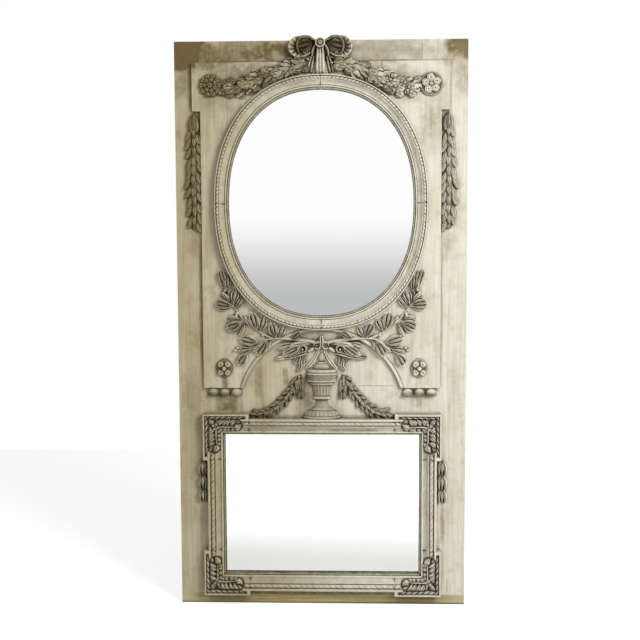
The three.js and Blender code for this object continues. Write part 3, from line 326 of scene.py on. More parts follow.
def fan_leaf(size, width, rise, under, lobes=3, bow=0.0, curl=0.1):
    """A broad leaf whose lobes spread like a fan, as (along, across, height) rows, and relief.

    s runs from root to tip and t across from -1 to 1. The half width grows as a sine of s. A lobe's crest is the
    size of cos(pi * lobes * t / 2), so there are as many crests as lobes. The leaf reaches size * s, less about a
    quarter of t squared and a share of what the crest lacks, so its tip is scalloped; its height rises and falls
    along s and drops between the crests, with a fine vein down each.
    """
    s = np.linspace(0, 1, 16)[:, None]
    t = np.linspace(-1, 1, 8 * lobes + 1)[None, :]
    crest = np.abs(np.cos(0.5 * np.pi * lobes * t))
    open_out = np.clip(s / 0.30, 0, 1)
    half = 0.5 * width * (0.14 + 0.86 * np.sin(0.5 * np.pi * np.clip(s / 0.78, 0, 1)) ** 1.2)
    half = half * (1 - 0.22 * np.clip((s - 0.7) / 0.3, 0, 1) ** 2)
    extent = 1 - 0.24 * t**2 - 0.20 * open_out * (1 - crest) ** 1.4
    spine = 0.36 + 0.64 * np.clip(np.sin(np.pi * (0.08 + 0.80 * s)), 0, 1) ** 0.9 + curl * s**3
    ends = np.clip((1 - s) / 0.10, 0, 1)
    vein = np.exp(-((1 - crest) / 0.035) ** 2) * open_out * ends
    height = rise * (spine - ends * open_out * (0.62 * (1 - crest) ** 1.1 + 0.16 * vein) - 0.30 * np.abs(t) ** 8)
    relief = 0.42 + open_out * (0.52 * crest - 0.25 * vein) + 0.10 * s - 0.15 * np.abs(t) ** 6
    return leaf_rows(size * s * extent, half * t, height, relief,
                     size * s * 0.80, 0.74 * half, bow * np.sin(np.pi * s), under, 0.05)


def set_leaf(local, root, angle, base, tilt=0.0, tone=0.0):
    """Places a leaf: tipped round its own length by tilt, then turned by angle and moved to its root.

    A point (a, c, h) is first turned to (a, c cos - h sin, c sin + h cos) of the tilt, then its (a, c) are
    turned by the angle and moved to the root, and the height is added to base.
    """
    rings, relief = local
    a, c, h = rings[..., 0], rings[..., 1], rings[..., 2]
    ct, st = np.cos(tilt), np.sin(tilt)
    side = c * ct - h * st
    out = c * st + h * ct
    ca, sa = np.cos(angle), np.sin(angle)
    points = np.stack([root[0] + a * ca - side * sa, base + out, root[1] + a * sa + side * ca], axis=-1)
    return Surface(points, grid_faces(*rings.shape[:2]), np.clip(relief + tone, 0, 1))


def leaf_between(root, tip, width, base, rise, under, tone=0.0, shape=leaf, **options):
    """A leaf of some shape from one (x, z) point to another."""
    root, tip = np.asarray(root, float), np.asarray(tip, float)
    run = tip - root
    local = shape(np.hypot(*run), width, rise, under, **options)
    return set_leaf(local, root, np.arctan2(run[1], run[0]), base, tone=tone)


fan_between = functools.partial(leaf_between, shape=fan_leaf)


def stem(points, half_widths, base, rise, under, rows=40, tone=0.0):
    """A half-round stem along a line: each row is half a circle of the local half width, closed below."""
    line = smooth_line(points, rows)
    _, left = directions(line)
    s = np.linspace(0, 1, rows)
    half = np.interp(s, np.linspace(0, 1, len(half_widths)), half_widths)[:, None]
    turn = np.linspace(0, np.pi, 9)[None, :]
    across = half * np.cos(turn)
    out = base + (rise * half / np.max(half)) * np.sin(turn)
    across = np.concatenate([across, -0.8 * half, 0.8 * half], axis=1)
    out = np.concatenate([out, np.full((rows, 2), base - under)], axis=1)
    rings = np.stack(
        [line[:, :1] + left[:, :1] * across, out, line[:, 1:] + left[:, 1:] * across], axis=-1)
    crest = np.concatenate([0.35 + 0.5 * np.sin(turn) * np.ones_like(half), np.full((rows, 2), 0.1)], axis=1)
    return capped(rings, np.clip(crest + tone, 0, 1))


def turned_boss(centre, profile, base, sides=20, stretch=(1.0, 1.0), petals=0, depth=0.0, size=(1.0, 1.0)):
    """A turned form round an axis that points out: each (radius, height, relief) of the profile makes one circle.

    The profile's radii and heights are first scaled by the size. With petals, the radius swells and shrinks by
    depth * cos(petals * angle).
    """
    profile = np.asarray(profile, float) * np.array([*size, 1.0])
    turn = np.linspace(0, 2 * np.pi, sides, endpoint=False)[None, :]
    radius = profile[:, :1] * (1 + depth * np.cos(petals * turn))
    points = np.stack([
        centre[0] + stretch[0] * radius * np.cos(turn),
        base + profile[:, 1:2] * np.ones_like(turn),
        centre[1] + stretch[1] * radius * np.sin(turn)], axis=-1)
    return Surface(points, grid_faces(*points.shape[:2]), np.repeat(profile[:, 2], sides))


def pearls(centres, radius, base):
    """Small beads at (x, z) centres: every one is the same slightly flat ball of six rows of eight, moved."""
    centres = np.asarray(centres, float)
    tip = np.linspace(-0.5 * np.pi, 0.5 * np.pi, 6)[:, None]
    turn = np.linspace(0, 2 * np.pi, 8, endpoint=False)[None, :]
    ball = np.stack([np.cos(tip) * np.cos(turn), 0.9 * np.sin(tip) * np.ones_like(turn),
                     np.cos(tip) * np.sin(turn)], axis=-1).reshape(-1, 3) * radius
    places = np.stack([centres[:, 0], np.full(len(centres), base), centres[:, 1]], axis=1)
    points = (ball[None] + places[:, None]).reshape(-1, 3)
    faces = (grid_faces(6, 8)[None] + (np.arange(len(centres)) * len(ball))[:, None, None]).reshape(-1, 4)
    relief = np.tile(np.repeat(np.linspace(0.0, 1.0, 6), 8), len(centres))
    return Surface(points, faces, relief)


# Petals as (share of the radius, share of the height, relief) rows: with a drilled eye, and as a plain dome.
DRILLED_PETAL = [(0, 0.30, 0.0), (0.16, 0.34, 0.0), (0.22, 0.95, 0.75), (0.5, 1.0, 0.9), (0.85, 0.7, 0.55),
                 (1, 0.1, 0.2), (0.9, -0.6, 0.0), (0, -0.6, 0.0)]
DOMED_PETAL = [(0, 1.0, 0.9), (0.5, 0.9, 0.8), (0.85, 0.55, 0.5), (1, 0.1, 0.15), (0.9, -0.6, 0.0), (0, -0.6, 0.0)]


def floret(centre, radius, base, rise, petals=5, drilled=True):
    """A small flower: a ring of round petals, each a low dome, drilled or not, about a button."""
    shape = DRILLED_PETAL if drilled else DOMED_PETAL
    turns = 2 * np.pi * (np.arange(petals) + 0.25) / petals
    parts = [turned_boss((centre[0] + 0.6 * radius * np.cos(a), centre[1] + 0.6 * radius * np.sin(a)),
                         shape, base, sides=12, size=(radius * 0.43, rise)) for a in turns]
    return [*parts, turned_boss(centre, DOMED_PETAL, base, sides=12, size=(0.26 * radius, 1.05 * rise))]


# ---------------------------------------------------------------- mouldings


def oval_profile():
    """The oval frame's face from sight edge to outer edge, as (distance out, height, relief, band share) rows.

    The band share is above 0 only on the carved band, where it runs from 0 at its inner edge to 1 at its outer.
    """
    width, rise, glass, seat = OVAL_WIDTH, OVAL_RISE, OVAL_GLASS_OUT, FIELD_OUT
    top = seat + rise
    cove = np.linspace(0, 1, 9)
    start, end = 15.0, width - 19.5
    rows = [(0, glass, 0.1, 0), (0, seat + 0.12 * rise, 0.2, 0), (1.2, seat + 0.14 * rise, 0.1, 0),
            (7.2, seat + 0.14 * rise, 0.05, 0), (7.8, seat + 0.40 * rise, 0.6, 0),
            (9.2, seat + 0.44 * rise, 0.95, 0),
            (11.8, seat + 0.43 * rise, 0.75, 0), (12.4, seat + 0.33 * rise, 0.05, 0),
            (13.8, seat + 0.31 * rise, 0.02, 0)]
    rows += [(start + (end - start) * c, seat + rise * (0.36 + 0.34 * c**2.2), 0.58 + 0.1 * c, 0) for c in cove]
    rows += [(end + 0.7, seat + 0.80 * rise, 0.8, 0), (end + 3.0, seat + 0.82 * rise, 0.95, 0),
             (end + 3.6, seat + 0.74 * rise, 0.15, 0)]
    band_in, band_out = end + 4.2, width - 4.4
    rows += [(band_in + (band_out - band_in) * w, seat + rise * (0.76 + 0.16 * np.sin(np.pi * w)),
              0.55 + 0.35 * np.sin(np.pi * w), max(w, 1e-3)) for w in np.linspace(0, 1, 8)]
    rows += [(width - 4.0, top - 1.0, 0.5, 0), (width - 3.6, top, 0.95, 0), (width - 1.0, top, 0.95, 0),
             (width, top - 1.6, 0.6, 0), (width, seat - 0.4, 0.2, 0), (13.0, seat - 0.4, 0.0, 0),
             (12.0, glass, 0.0, 0)]
    return np.array(rows)


def carved_band(profile, phase, depth, slant):
    """Height and relief of a moulding face with its band cut into leaning tongues.

    Across the band, w from 0 to 1, a cut lies where phase + slant * w is near a whole number, with a width that
    grows outwards as w, so each cut is a leaning drop. Its depth follows a Gaussian of that distance, and a
    product of two slow sines of the phase makes some cuts shallower.
    """
    w = profile[None, :, 3]
    on_band = w > 0
    place = phase[:, None] + slant * w
    off = np.abs((place + 0.5) % 1.0 - 0.5)
    spread = 0.09 + 0.09 * w
    cut = np.exp(-(off / spread) ** 2) * on_band * np.clip(np.sin(np.pi * (0.12 + 0.80 * w)), 0, 1)
    cut *= 0.78 + 0.22 * np.sin(2.39 * phase[:, None]) * np.sin(0.37 * phase[:, None] + 1)
    height = profile[None, :, 1] - depth * cut
    relief = profile[None, :, 2] - 0.72 * cut
    return height, np.clip(relief, 0, 1)


def fuller(value):
    """A cosine or sine raised to 2 / fullness, which makes an oval fuller at its shoulders than an ellipse."""
    return np.sign(value) * np.abs(value) ** (2 / OVAL_FULLNESS)


def oval_run(half, turns):
    """The distance travelled round an oval of these half sizes, from the first turn to each."""
    steps = np.hypot(half[0] * np.diff(fuller(np.cos(turns))), half[1] * np.diff(fuller(np.sin(turns))))
    return np.concatenate([[0], np.cumsum(steps)])


def oval_length(start, finish, pitch_count, carving):
    """One quarter of the oval frame, between two turns measured from +X.

    Its points are (half width + out) * fuller(cos), (half height + out) * fuller(sin) of the turn, for each
    distance out of the profile. The turns are spaced evenly by length along the band, ten to each cut.
    """
    sight = OVAL_HALF - OVAL_WIDTH
    swing = np.sin(np.linspace(-0.5 * np.pi, 0.5 * np.pi, 4001))
    turns = 0.5 * (start + finish) + 0.5 * (finish - start) * swing
    run = oval_run(sight + OVAL_BAND_LINE, turns)
    gap = 0.5 * carving.joint_gap
    even = np.interp(np.linspace(gap, run[-1] - gap, pitch_count * 10 + 1), run, turns)
    profile = oval_profile()
    slant = 0.45 * np.sign(np.cos(0.5 * (start + finish)))
    height, relief = carved_band(profile, np.linspace(0, pitch_count, len(even)) + 0.5, carving.band_depth, slant)
    out = profile[None, :, 0]
    points = np.stack([
        (sight[0] + out) * fuller(np.cos(even))[:, None],
        height,
        OVAL_CENTRE_Z + (sight[1] + out) * fuller(np.sin(even))[:, None]], axis=-1)
    bead = sight + PEARL_LINE
    run = oval_run(bead, turns)
    count = int(round(run[-1] / carving.pearl_pitch))
    at = np.interp((np.arange(count) + 0.5) * run[-1] / count, run, turns)
    places = np.stack([bead[0] * fuller(np.cos(at)), OVAL_CENTRE_Z + bead[1] * fuller(np.sin(at))], axis=1)
    return [capped(points, relief), pearls(places, carving.pearl_radius, FIELD_OUT + 0.14 * OVAL_RISE + 0.6)]


# The sight edge of the lower frame and its corners: rebate, pearls' bed and bead, in the rows of a profile.
LOWER_SIGHT = [(0, -7.6, 0.1, 0), (0, 4.0, 0.15, 0), (1.0, 4.6, 0.05, 0), (7.0, 4.6, 0.0, 0), (7.6, 11.4, 0.5, 0),
               (8.8, 13.6, 0.95, 0), (11.2, 14.4, 1.0, 0), (13.6, 13.6, 0.9, 0)]


def lower_profile():
    """The lower frame's face from sight edge to outer edge: pearls' bed, bead, cove, quirk, carved band, ledge."""
    rows = [*LOWER_SIGHT, (14.8, 11.4, 0.3, 0)]
    rows += [(15.4 + 15.2 * c, 10.6 + 13.6 * c**2.1, 0.50 + 0.16 * c, 0) for c in np.linspace(0, 1, 8)]
    rows += [(31.2, 25.2, 0.75, 0), (33.0, 25.0, 0.55, 0), (33.6, 22.0, 0.12, 0), (36.0, 22.0, 0.12, 0),
             (36.6, 24.5, 0.35, 0)]
    rows += [(37.0 + 13.0 * w, 25.5 + 4.0 * np.sin(np.pi * w), 0.50 + 0.38 * np.sin(np.pi * w), max(w, 1e-3))
             for w in np.linspace(0, 1, 9)]
    rows += [(50.5, 25.0, 0.05, 0), (51.3, 25.0, 0.05, 0), (51.9, 32.0, 0.8, 0), (53.0, 33.4, 1.0, 0),
             (58.6, 33.4, 0.95, 0), (60.0, 31.8, 0.6, 0), (60.0, -0.4, 0.2, 0), (4.6, -0.4, 0.0, 0),
             (4.6, -7.6, 0.0, 0)]
    return np.array(rows)


def straight_length(span, carving):
    """One straight length of the lower frame, along u from -span/2 to span/2 with v running outwards."""
    count = max(2, int(round(span / carving.rect_band_pitch)))
    u = np.linspace(-span / 2, span / 2, count * 12 + 1)
    profile = lower_profile()
    height, relief = carved_band(profile, np.linspace(0, count, len(u)) + 0.5, 0.9 * carving.band_depth, 0.62)
    out = profile[None, :, 0]
    points = np.stack([u[:, None] + 0 * out, height, out + 0 * u[:, None]], axis=-1)
    count = int(round(span / carving.pearl_pitch))
    beads = np.stack([(np.arange(count) + 0.5) * span / count - span / 2, np.full(count, PEARL_LINE)], axis=1)
    return [capped(points, relief), pearls(beads, carving.pearl_radius, LOWER_PEARL_OUT)]


def placed(surfaces, quarter, origin):
    """Surfaces turned in the picture plane by quarter turns and moved to an (x, z) origin."""
    c, s = [(1, 0), (0, 1), (-1, 0), (0, -1)][quarter % 4]
    return [Surface(np.stack([
        origin[0] + p.points[:, 0] * c - p.points[:, 2] * s,
        p.points[:, 1],
        origin[1] + p.points[:, 0] * s + p.points[:, 2] * c], axis=1), p.faces, p.relief) for p in surfaces]


def corner_profile():
    """The eared corner's face from sight edge to outer edge: bead, sunk floor, cut border and outer ledge."""
    rows = [*LOWER_SIGHT, (14.8, 11.0, 0.1, 0)]
    rows += [(15.4 + 43.0 * c, 9.5 + 1.5 * c, 0.12, 0) for c in np.linspace(0, 1, 18)]
    rows += [(59.2, 11.5, 0.03, 0), (59.8, 22.0, 0.5, 0)]
    rows += [(60.2 + 9.4 * w, 24.5 + 5.5 * np.sin(np.pi * w), 0.5 + 0.45 * np.sin(np.pi * w), max(w, 1e-3))
             for w in np.linspace(0, 1, 7)]
    rows += [(70.0, 25.0, 0.05, 0), (70.6, 32.0, 0.85, 0), (71.6, 33.6, 1.0, 0), (75.0, 33.6, 0.95, 0),
             (76, 32.0, 0.6, 0), (76, -0.4, 0.2, 0), (5, -0.4, 0.0, 0), (4.6, -7.6, 0.0, 0)]
    return np.array(rows)


def corner_arm(carving):
    """One arm of a corner: its rows run along u from the ear's end to the mitre, where u equals v.

    The face is the corner's own profile near the flower and turns into the straight length's beyond a rounded
    end, u = -66 + 12 ((v - 37) / 23) squared. The border's cuts lie where u / pitch + 0.7 w is a whole number.
    """
    profile = corner_profile()
    straight = lower_profile()
    rows = np.concatenate([np.linspace(0, 0.30, 60)[:-1], np.linspace(0.30, 1, 110)])[:, None]
    v = profile[None, :, 0]
    u = -88.0 + (v + 88.0) * rows
    w = profile[None, :, 3]
    off = np.abs((u / carving.rect_band_pitch + 0.7 * w + 0.5) % 1.0 - 0.5)
    cut = np.exp(-(off / 0.17) ** 2) * (w > 0)
    height = profile[None, :, 1] - 8.0 * cut
    relief = np.clip(profile[None, :, 2] - 0.95 * cut, 0, 1)
    face = straight[1:-3]
    plain = np.interp(v, face[:, 0], face[:, 1])
    plain_relief = np.interp(v, face[:, 0], face[:, 2])
    band = np.interp(v, face[:, 0], face[:, 3])
    off = np.abs((u / carving.rect_band_pitch + 0.62 * band + 0.5) % 1.0 - 0.5)
    cut = np.exp(-(off / (0.09 + 0.09 * band)) ** 2) * (band > 0)
    plain = np.where((v >= 51.9) & (v < 75.5), 33.4, plain - 4.5 * cut)
    plain_relief = np.where(v >= 51.9, 0.9, plain_relief - 0.72 * cut)
    edge = -66.0 + 12.0 * ((v - 37.0) / 23.0) ** 2
    edge = np.where(v > 59.5, -76.0, edge)
    merge = np.clip((edge - u) / 2.5 + 0.5, 0, 1) * (v > 14.0)
    merge[:, :2] = 0
    merge[:, -3:] = 0
    height = height * (1 - merge) + plain * merge
    relief = relief * (1 - merge) + np.clip(plain_relief, 0, 1) * merge
    body = capped(np.stack([u, height, v + 0 * u], axis=-1), relief)
    along = np.arange(-86.0, 1.0, carving.pearl_pitch)
    beads = np.stack([along, np.full(len(along), PEARL_LINE)], axis=1)
    return [body, pearls(beads, carving.pearl_radius, LOWER_PEARL_OUT)]


def corner_spray(seed):
    """The carving in one arm: a rib from the corner flower to a bud, curled leaves outside it and lobes inside."""
    rng = np.random.default_rng(seed)
    base, under = 11.0, 3.0
    parts = [stem([(26, 29), (0, 30), (-24, 29), (-40, 28)], [3.6, 3.4, 3.0, 2.6], base, 15, under, rows=30,
                  tone=0.15)]
    for u in (16.0, 1.0, -14.0, -28.0):
        u += rng.uniform(-2, 2)
        swing, grow = rng.uniform(-3, 3), rng.uniform(0.9, 1.1)
        parts.append(leaf_between((u + 4, 33), (u - 15 + swing, 58), 15.5 * grow, base, 19, under, veins=0,
                                  rows=14, bow=-4.5, tone=0.2))
        parts.append(leaf_between((u + 2, 27), (u - 9 + swing, 16.5), 12.5 * grow, base, 15, under, kind="round",
                                  veins=0, rows=12, bow=1.5, tone=0.1))
    parts.append(leaf_between((-33, 25), (-55, 29), 19, base + 1, 20, under + 1, kind="round", veins=2,
                              rows=14, tone=0.2))
    parts.append(leaf_between((-34, 36), (-64, 41), 16, base, 17, under, veins=0, rows=16, bow=8,
                              tone=0.14))
    parts.append(leaf_between((-38, 21), (-62, 33), 10, base, 15, under, veins=0, rows=16, bow=-6,
                              tone=0.1))
    parts.append(leaf_between((-38, 45), (-60, 56), 13, base, 15, under, kind="round", veins=2, rows=14,
                              tone=0.12))
    return parts


def carved_corner(side, end, carving, seed):
    """An eared corner: two mitred arms with a spray along each, and a flower where they meet."""
    arm = [*corner_arm(carving), *corner_spray(seed)]
    other = [*corner_arm(carving), *corner_spray(seed + 1)]
    swapped = [Surface(s.points[:, [2, 1, 0]], s.faces, s.relief) for s in other]
    middle = [*floret((31, 31), 14.5, 12, 15, petals=4),
              leaf_between((36, 36), (57, 57), 15, 11, 17, 3, kind="round", veins=3, tone=0.08),
              leaf_between((26, 42), (22, 58), 11, 11, 15, 3, veins=0),
              leaf_between((42, 26), (58, 22), 11, 11, 15, 3, veins=0)]
    sight_half = reach("rect_frame_right")[1][0] - LOWER_WIDTH
    sight_z = RECT_HIGH[2] - LOWER_WIDTH if end > 0 else RECT_LOW[2] + LOWER_WIDTH
    result = []
    for part in [*arm, *swapped, *middle]:
        x, out, z = part.points.T
        points = np.stack([side * (sight_half + x), out, sight_z + end * z], axis=1)
        result.append(Surface(points, part.faces, part.relief))
    return result


def arch_bead():
    """The flat bead along the field's arch: a strip 12 mm wide between two quirks, swept round a circle.

    The circle passes through the feet of the arch and its crown, so its radius is (a squared + h squared) / 2h
    for a half width a and a rise h.
    """
    foot = reach("field_left")[0][2]
    radius = (ARCH_HALF**2 + ARCH_RISE**2) / (2 * ARCH_RISE)
    centre = foot + ARCH_RISE - radius
    start = np.arcsin((foot - centre) / radius)
    turn = np.linspace(start + 0.004, np.pi - start - 0.004, 181)[:, None]
    face = np.array([(0.3, FIELD_OUT - 0.6, 0.05), (0.7, FIELD_OUT + 1.2, 0.4), (2.0, FIELD_OUT + 2.6, 0.8),
                     (9.0, FIELD_OUT + 2.8, 0.75), (11.0, FIELD_OUT + 1.6, 0.35), (12.2, FIELD_OUT + 0.15, 0.0),
                     (14.2, FIELD_OUT + 0.1, 0.05), (14.2, FIELD_OUT - 0.6, 0.0)])
    ring = radius + face[None, :, 0]
    points = np.stack([ring * np.cos(turn), face[None, :, 1] + 0 * turn, centre + ring * np.sin(turn)], axis=-1)
    return [capped(points, face[None, :, 2] + 0 * turn)]


# ---------------------------------------------------------------- garlands, swags and husks


def rope_path(line, halves, count):
    """A smooth path: its points, and at each its heading, its normal to the left, its run and its half width."""
    path = smooth_line(line, count)
    along, left = directions(path)
    run = np.concatenate([[0], np.cumsum(np.hypot(*np.diff(path, axis=0).T))])
    half = np.interp(run / run[-1], np.linspace(0, 1, len(halves)), np.asarray(halves, float))
    return path, np.arctan2(along[:, 1], along[:, 0]), left, run, half


def leafy_rope(line, halves, base, core, size, width, rise, pitch, tilts, splay, seed, kind="laurel"):
    """Leaves laid along a half-round rope, with the rope itself.

    At each step along the line a leaf is set for each tilt round the rope: its root stands at -0.62 * half *
    sin(tilt) across and 0.82 * core * cos(tilt) out, and it leans from the line by splay times the sine of its
    tilt.
    """
    rng = np.random.default_rng(seed)
    path, heading, left, run, half = rope_path(line, halves, 400)
    parts = [stem(line, 0.75 * np.asarray(halves, float), base, core, base + 0.5, rows=40, tone=-0.4)]
    for k in range(int((run[-1] - 0.6 * size) / pitch) + 1):
        for row, tilt in enumerate(tilts):
            here = (k + 0.5 * (row % 2)) * pitch + rng.uniform(-0.12, 0.12) * pitch
            if here > run[-1] - 0.45 * size:
                continue
            i = min(int(np.searchsorted(run, max(here, 0))), 399)
            root = path[i] - left[i] * half[i] * 0.62 * np.sin(tilt)
            angle = heading[i] - splay * np.sin(tilt) + rng.uniform(-0.14, 0.14)
            grow = rng.uniform(0.88, 1.12)
            local = leaf(size * grow, width * rng.uniform(0.9, 1.12), rise, 3.0, kind=kind, curl=0.25,
                         bow=rng.uniform(-2, 2), rows=15)
            parts.append(set_leaf(local, root, angle, base + core * np.cos(tilt) * 0.82, tilt=0.55 * tilt,
                                  tone=0.1 * np.cos(tilt) - 0.03))
    return parts


def berries(line, spread, base, radius, count, seed):
    """Loose berries along a line, each moved aside by a seeded random share of the spread."""
    rng = np.random.default_rng(seed)
    path = smooth_line(line, count)
    _, left = directions(path)
    return pearls(path + left * rng.uniform(-1, 1, (count, 1)) * spread, radius, base)


GARLAND_LINE = [(40, 1917), (84, 1910), (120, 1899), (177, 1878), (224, 1857), (278, 1839), (322, 1835),
                (345, 1838)]
GARLAND_HALVES = [14, 18, 21, 23, 26, 28, 26, 22]


def leaf_clusters(line, halves, base, rise, pitch, size, width, seed, fill):
    """Clusters of broad leaves scattered along a line, larger where it is wide, each turned its own way.

    A leaf's root lies a seeded share of the half width to one side, and it leans outwards by that share and a
    seeded turn; its base rises towards the middle of the rope. About a third of the leaves have two lobes.
    """
    rng = np.random.default_rng(seed)
    path, heading, left, run, half = rope_path(line, halves, 300)
    parts = [stem(line, 0.62 * np.asarray(halves, float), base, 9, base + 0.5, rows=40, tone=-0.6)]
    middle = (fill - 1) / 2
    for k in range(int((run[-1] - 0.7 * size) / pitch) + 1):
        for row in range(fill):
            off = np.clip((row - middle) / max(middle, 1) * 0.62 + rng.uniform(-0.16, 0.16), -0.8, 0.8)
            here = (k + rng.uniform(-0.25, 0.25) + 0.5 * (row % 2)) * pitch
            i = int(np.searchsorted(run, np.clip(here, 0, run[-1] - 0.62 * size)))
            root = path[i] + left[i] * half[i] * off * 0.78
            angle = heading[i] + off * 0.62 + rng.uniform(-0.5, 0.5) * (1 - abs(off))
            grow = rng.uniform(0.85, 1.12) * (1 - 0.18 * abs(off))
            lift = base + rise * (0.10 + 0.55 * (1 - abs(off))) * rng.uniform(0.7, 1.15)
            if rng.uniform() < 0.35:
                local = fan_leaf(0.9 * size * grow, 1.35 * width * grow, 0.62 * rise, lift + 0.4, lobes=2)
            else:
                local = leaf(size * grow, width * grow, 0.62 * rise, lift + 0.4, kind="round", veins=3, rows=15,
                             bow=rng.uniform(-4, 4), curl=0.2)
            parts.append(set_leaf(local, root, angle, lift, tilt=-0.22 * off, tone=rng.uniform(-0.20, 0.16)))
    return parts


def laurel_garland(side, carving):
    """A laurel garland over the oval's shoulder, with small flowers among the leaves on the right."""
    parts = leaf_clusters(GARLAND_LINE, GARLAND_HALVES, FIELD_OUT, 17.5, 30.0, 0.90 * carving.laurel_length, 31.0,
                          11 if side < 0 else 14, fill=4)
    parts.append(berries(GARLAND_LINE, 22, FIELD_OUT + 14, 4.4, 20, 5 if side < 0 else 6))
    if side > 0:
        for place in ((238, 1868), (283, 1846), (308, 1826), (262, 1828)):
            parts += floret(place, 14.5, FIELD_OUT + 13, 10, petals=4)
    return [p.mirrored(side) for p in parts]


def side_garland(side, carving):
    """A braid of husks that hangs from the field's notch, with one long bud above it."""
    x, foot, top = beside("side_garland", side)
    line = [(x, top - 48), (x + 2, top - 200), (x + 1, foot + 40), (x, foot + 10)]
    halves = [15, 20, 19, 15]
    seed = 21 if side < 0 else 22
    parts = leafy_rope(line, halves, 0.0, 11.0, 0.84 * carving.husk_length, 22.0, 9.0, 34.0, (-0.95, 0.95), 0.34,
                       seed, kind="round")
    parts += leafy_rope(line, halves, 0.0, 13.0, 0.62 * carving.husk_length, 15.0, 8.0, 34.0, (0.0,), 0.3,
                        seed + 2)
    crown, inner = top - 2, x - 4
    for start, end, drop, width, base, rise, kind, bow in (
            (4, 11, 68, 20, 8, 14, "round", 3), (2, -7, 66, 19, 8, 13, "round", -2),
            (4, 2, 60, 13, 13, 12, "laurel", 0)):
        parts.append(leaf_between((inner + start, crown), (inner + end, crown - drop), width, base, rise, 8,
                                  kind=kind, bow=bow))
    return [p.mirrored(side) for p in parts]


def frame_husks(side):
    """Three buds in a string beside the lower frame: each is two open leaves about a closed one."""
    x, foot, top = beside("frame_husk", side)
    x += 5.5
    bud = (top - foot) / 3
    parts = [stem([(x, top - 4), (x, foot + 8)], [5, 6], 0, 8, 0.5, rows=12, tone=-0.5)]
    for k in range(3):
        head = top - k * bud - 1
        size = bud + 4 - 4 * (k == 2)
        for sign in (1, -1):
            parts.append(leaf_between((x + 2 * sign, head), (x + 8.5 * sign, head - size), 12, 5, 15, 5.5, veins=0,
                                      bow=6.5 * sign, rows=22, tone=0.22))
        parts.append(leaf_between((x, head - 5), (x, head - 0.84 * size), 10, 9, 14, 9.5, veins=0, rows=20,
                                  tone=0.3))
    return [p.mirrored(side) for p in parts]


SWAG_LINE = {
    -1: [(81, 829), (94, 803), (109, 776), (130, 748), (156, 723), (186, 703), (216, 694), (243, 692)],
    1: [(80, 828), (97, 797), (118, 765), (145, 736), (172, 712), (198, 698), (224, 694), (243, 693)],
}


def leafy_swag(side):
    """A swag of small leaves from beside the urn down to the frame's ear, thicker at its foot."""
    line = SWAG_LINE[side]
    halves = [5, 8, 10, 11, 12, 12, 12, 9]
    parts = leafy_rope(line, halves, 0.0, 9.0, 31.0, 13.0, 9.0, 22.0, (-1.0, 0.05, 1.0), 0.5,
                       31 if side < 0 else 32, kind="husk")
    parts.append(berries(line, 9, 14, 3.4, 12, 33))
    return [p.mirrored(side) for p in parts]


def husk_drop(side):
    """A short string of husks beside the urn that ends in an open bud."""
    x, foot, top = beside("husk_drop", side)
    line = [(x - 1, top - 1), (x, top - 45), (x - 1, foot + 20)]
    parts = leafy_rope(line, [5, 9, 11], 0.0, 7.0, 32.0, 12.0, 7.0, 19.0, (-0.9, 0.9), 0.3,
                       41 if side < 0 else 42, kind="husk")
    for start, end in ((-3, -9), (3, 8)):
        parts.append(leaf_between((x + start, foot + 36), (x + end, foot + 2), 13, 6, 12, 6, kind="round"))
    return [p.mirrored(side) for p in parts]


# ---------------------------------------------------------------- rosettes and drops


def leafy_rosette(centre, radius, base):
    """A full-blown flower: two rings of small curled leaves, each ring turned against the other, and a button."""
    floor = turned_boss(centre, [(0, 6, 0.0), (0.84 * radius, 6, 0.0), (0.92 * radius, 2, 0.0),
                                 (0.92 * radius, -0.5, 0.0), (0, -0.5, 0.0)], base, sides=32)
    parts = [floor]
    for ring, (count, start, finish, width, rise, lift) in enumerate(
            [(10, 0.40, 1.0, 0.50, 11, 6), (7, 0.16, 0.66, 0.40, 11, 12)]):
        for k in range(count):
            turn = 2 * np.pi * (k + 0.5 * ring) / count
            ray = np.array([np.cos(turn), np.sin(turn)])
            parts.append(leaf_between(centre + start * radius * ray, centre + finish * radius * ray,
                                      width * radius, base + lift, rise, 6, kind="round", veins=2, rows=12,
                                      curl=-0.2))
    return [*parts, *floret(centre, 0.24 * radius, base + 16, 6, petals=5, drilled=False)]


def drilled_rosette(centre, radius, base):
    """A thin whorled rim round five overlapping flowers with small drilled eyes, and a button in the middle."""
    rim = [(0, 7, 0.5), (0.78, 7, 0.45), (0.84, 10, 0.75), (0.88, 11, 0.95), (0.91, 9, 0.45), (0.95, 10, 0.9),
           (1.0, 6, 0.6), (1.0, -0.5, 0.3), (0, -0.5, 0.0)]
    parts = [turned_boss(centre, rim, base, sides=48, petals=9, depth=0.02, size=(radius, 1))]
    eye = [(0, 0.50, 0.0), (0.10, 0.52, 0.1), (0.17, 0.90, 0.85), (0.42, 1.0, 1.0), (0.60, 0.86, 0.62),
           (0.78, 0.88, 0.95), (0.92, 0.70, 0.6), (1, 0.3, 0.3), (0.95, 0, 0.2), (0, 0, 0.0)]
    for k in range(5):
        turn = 2 * np.pi * (k + 0.35) / 5
        place = (centre[0] + 0.50 * radius * np.cos(turn), centre[1] + 0.50 * radius * np.sin(turn))
        size = ((0.35 + 0.03 * (k % 2)) * radius, 15 + 2 * (k % 3))
        parts.append(turned_boss(place, eye, base + 2, sides=28, petals=5, depth=0.07, size=size))
    button = [(0, 0.7, 0.3), (0.25, 0.95, 0.9), (0.7, 0.9, 0.9), (1, 0.4, 0.3), (0.95, 0, 0.1), (0, 0, 0.0)]
    return [*parts, turned_boss(centre, button, base + 2, size=(0.19 * radius, 19))]


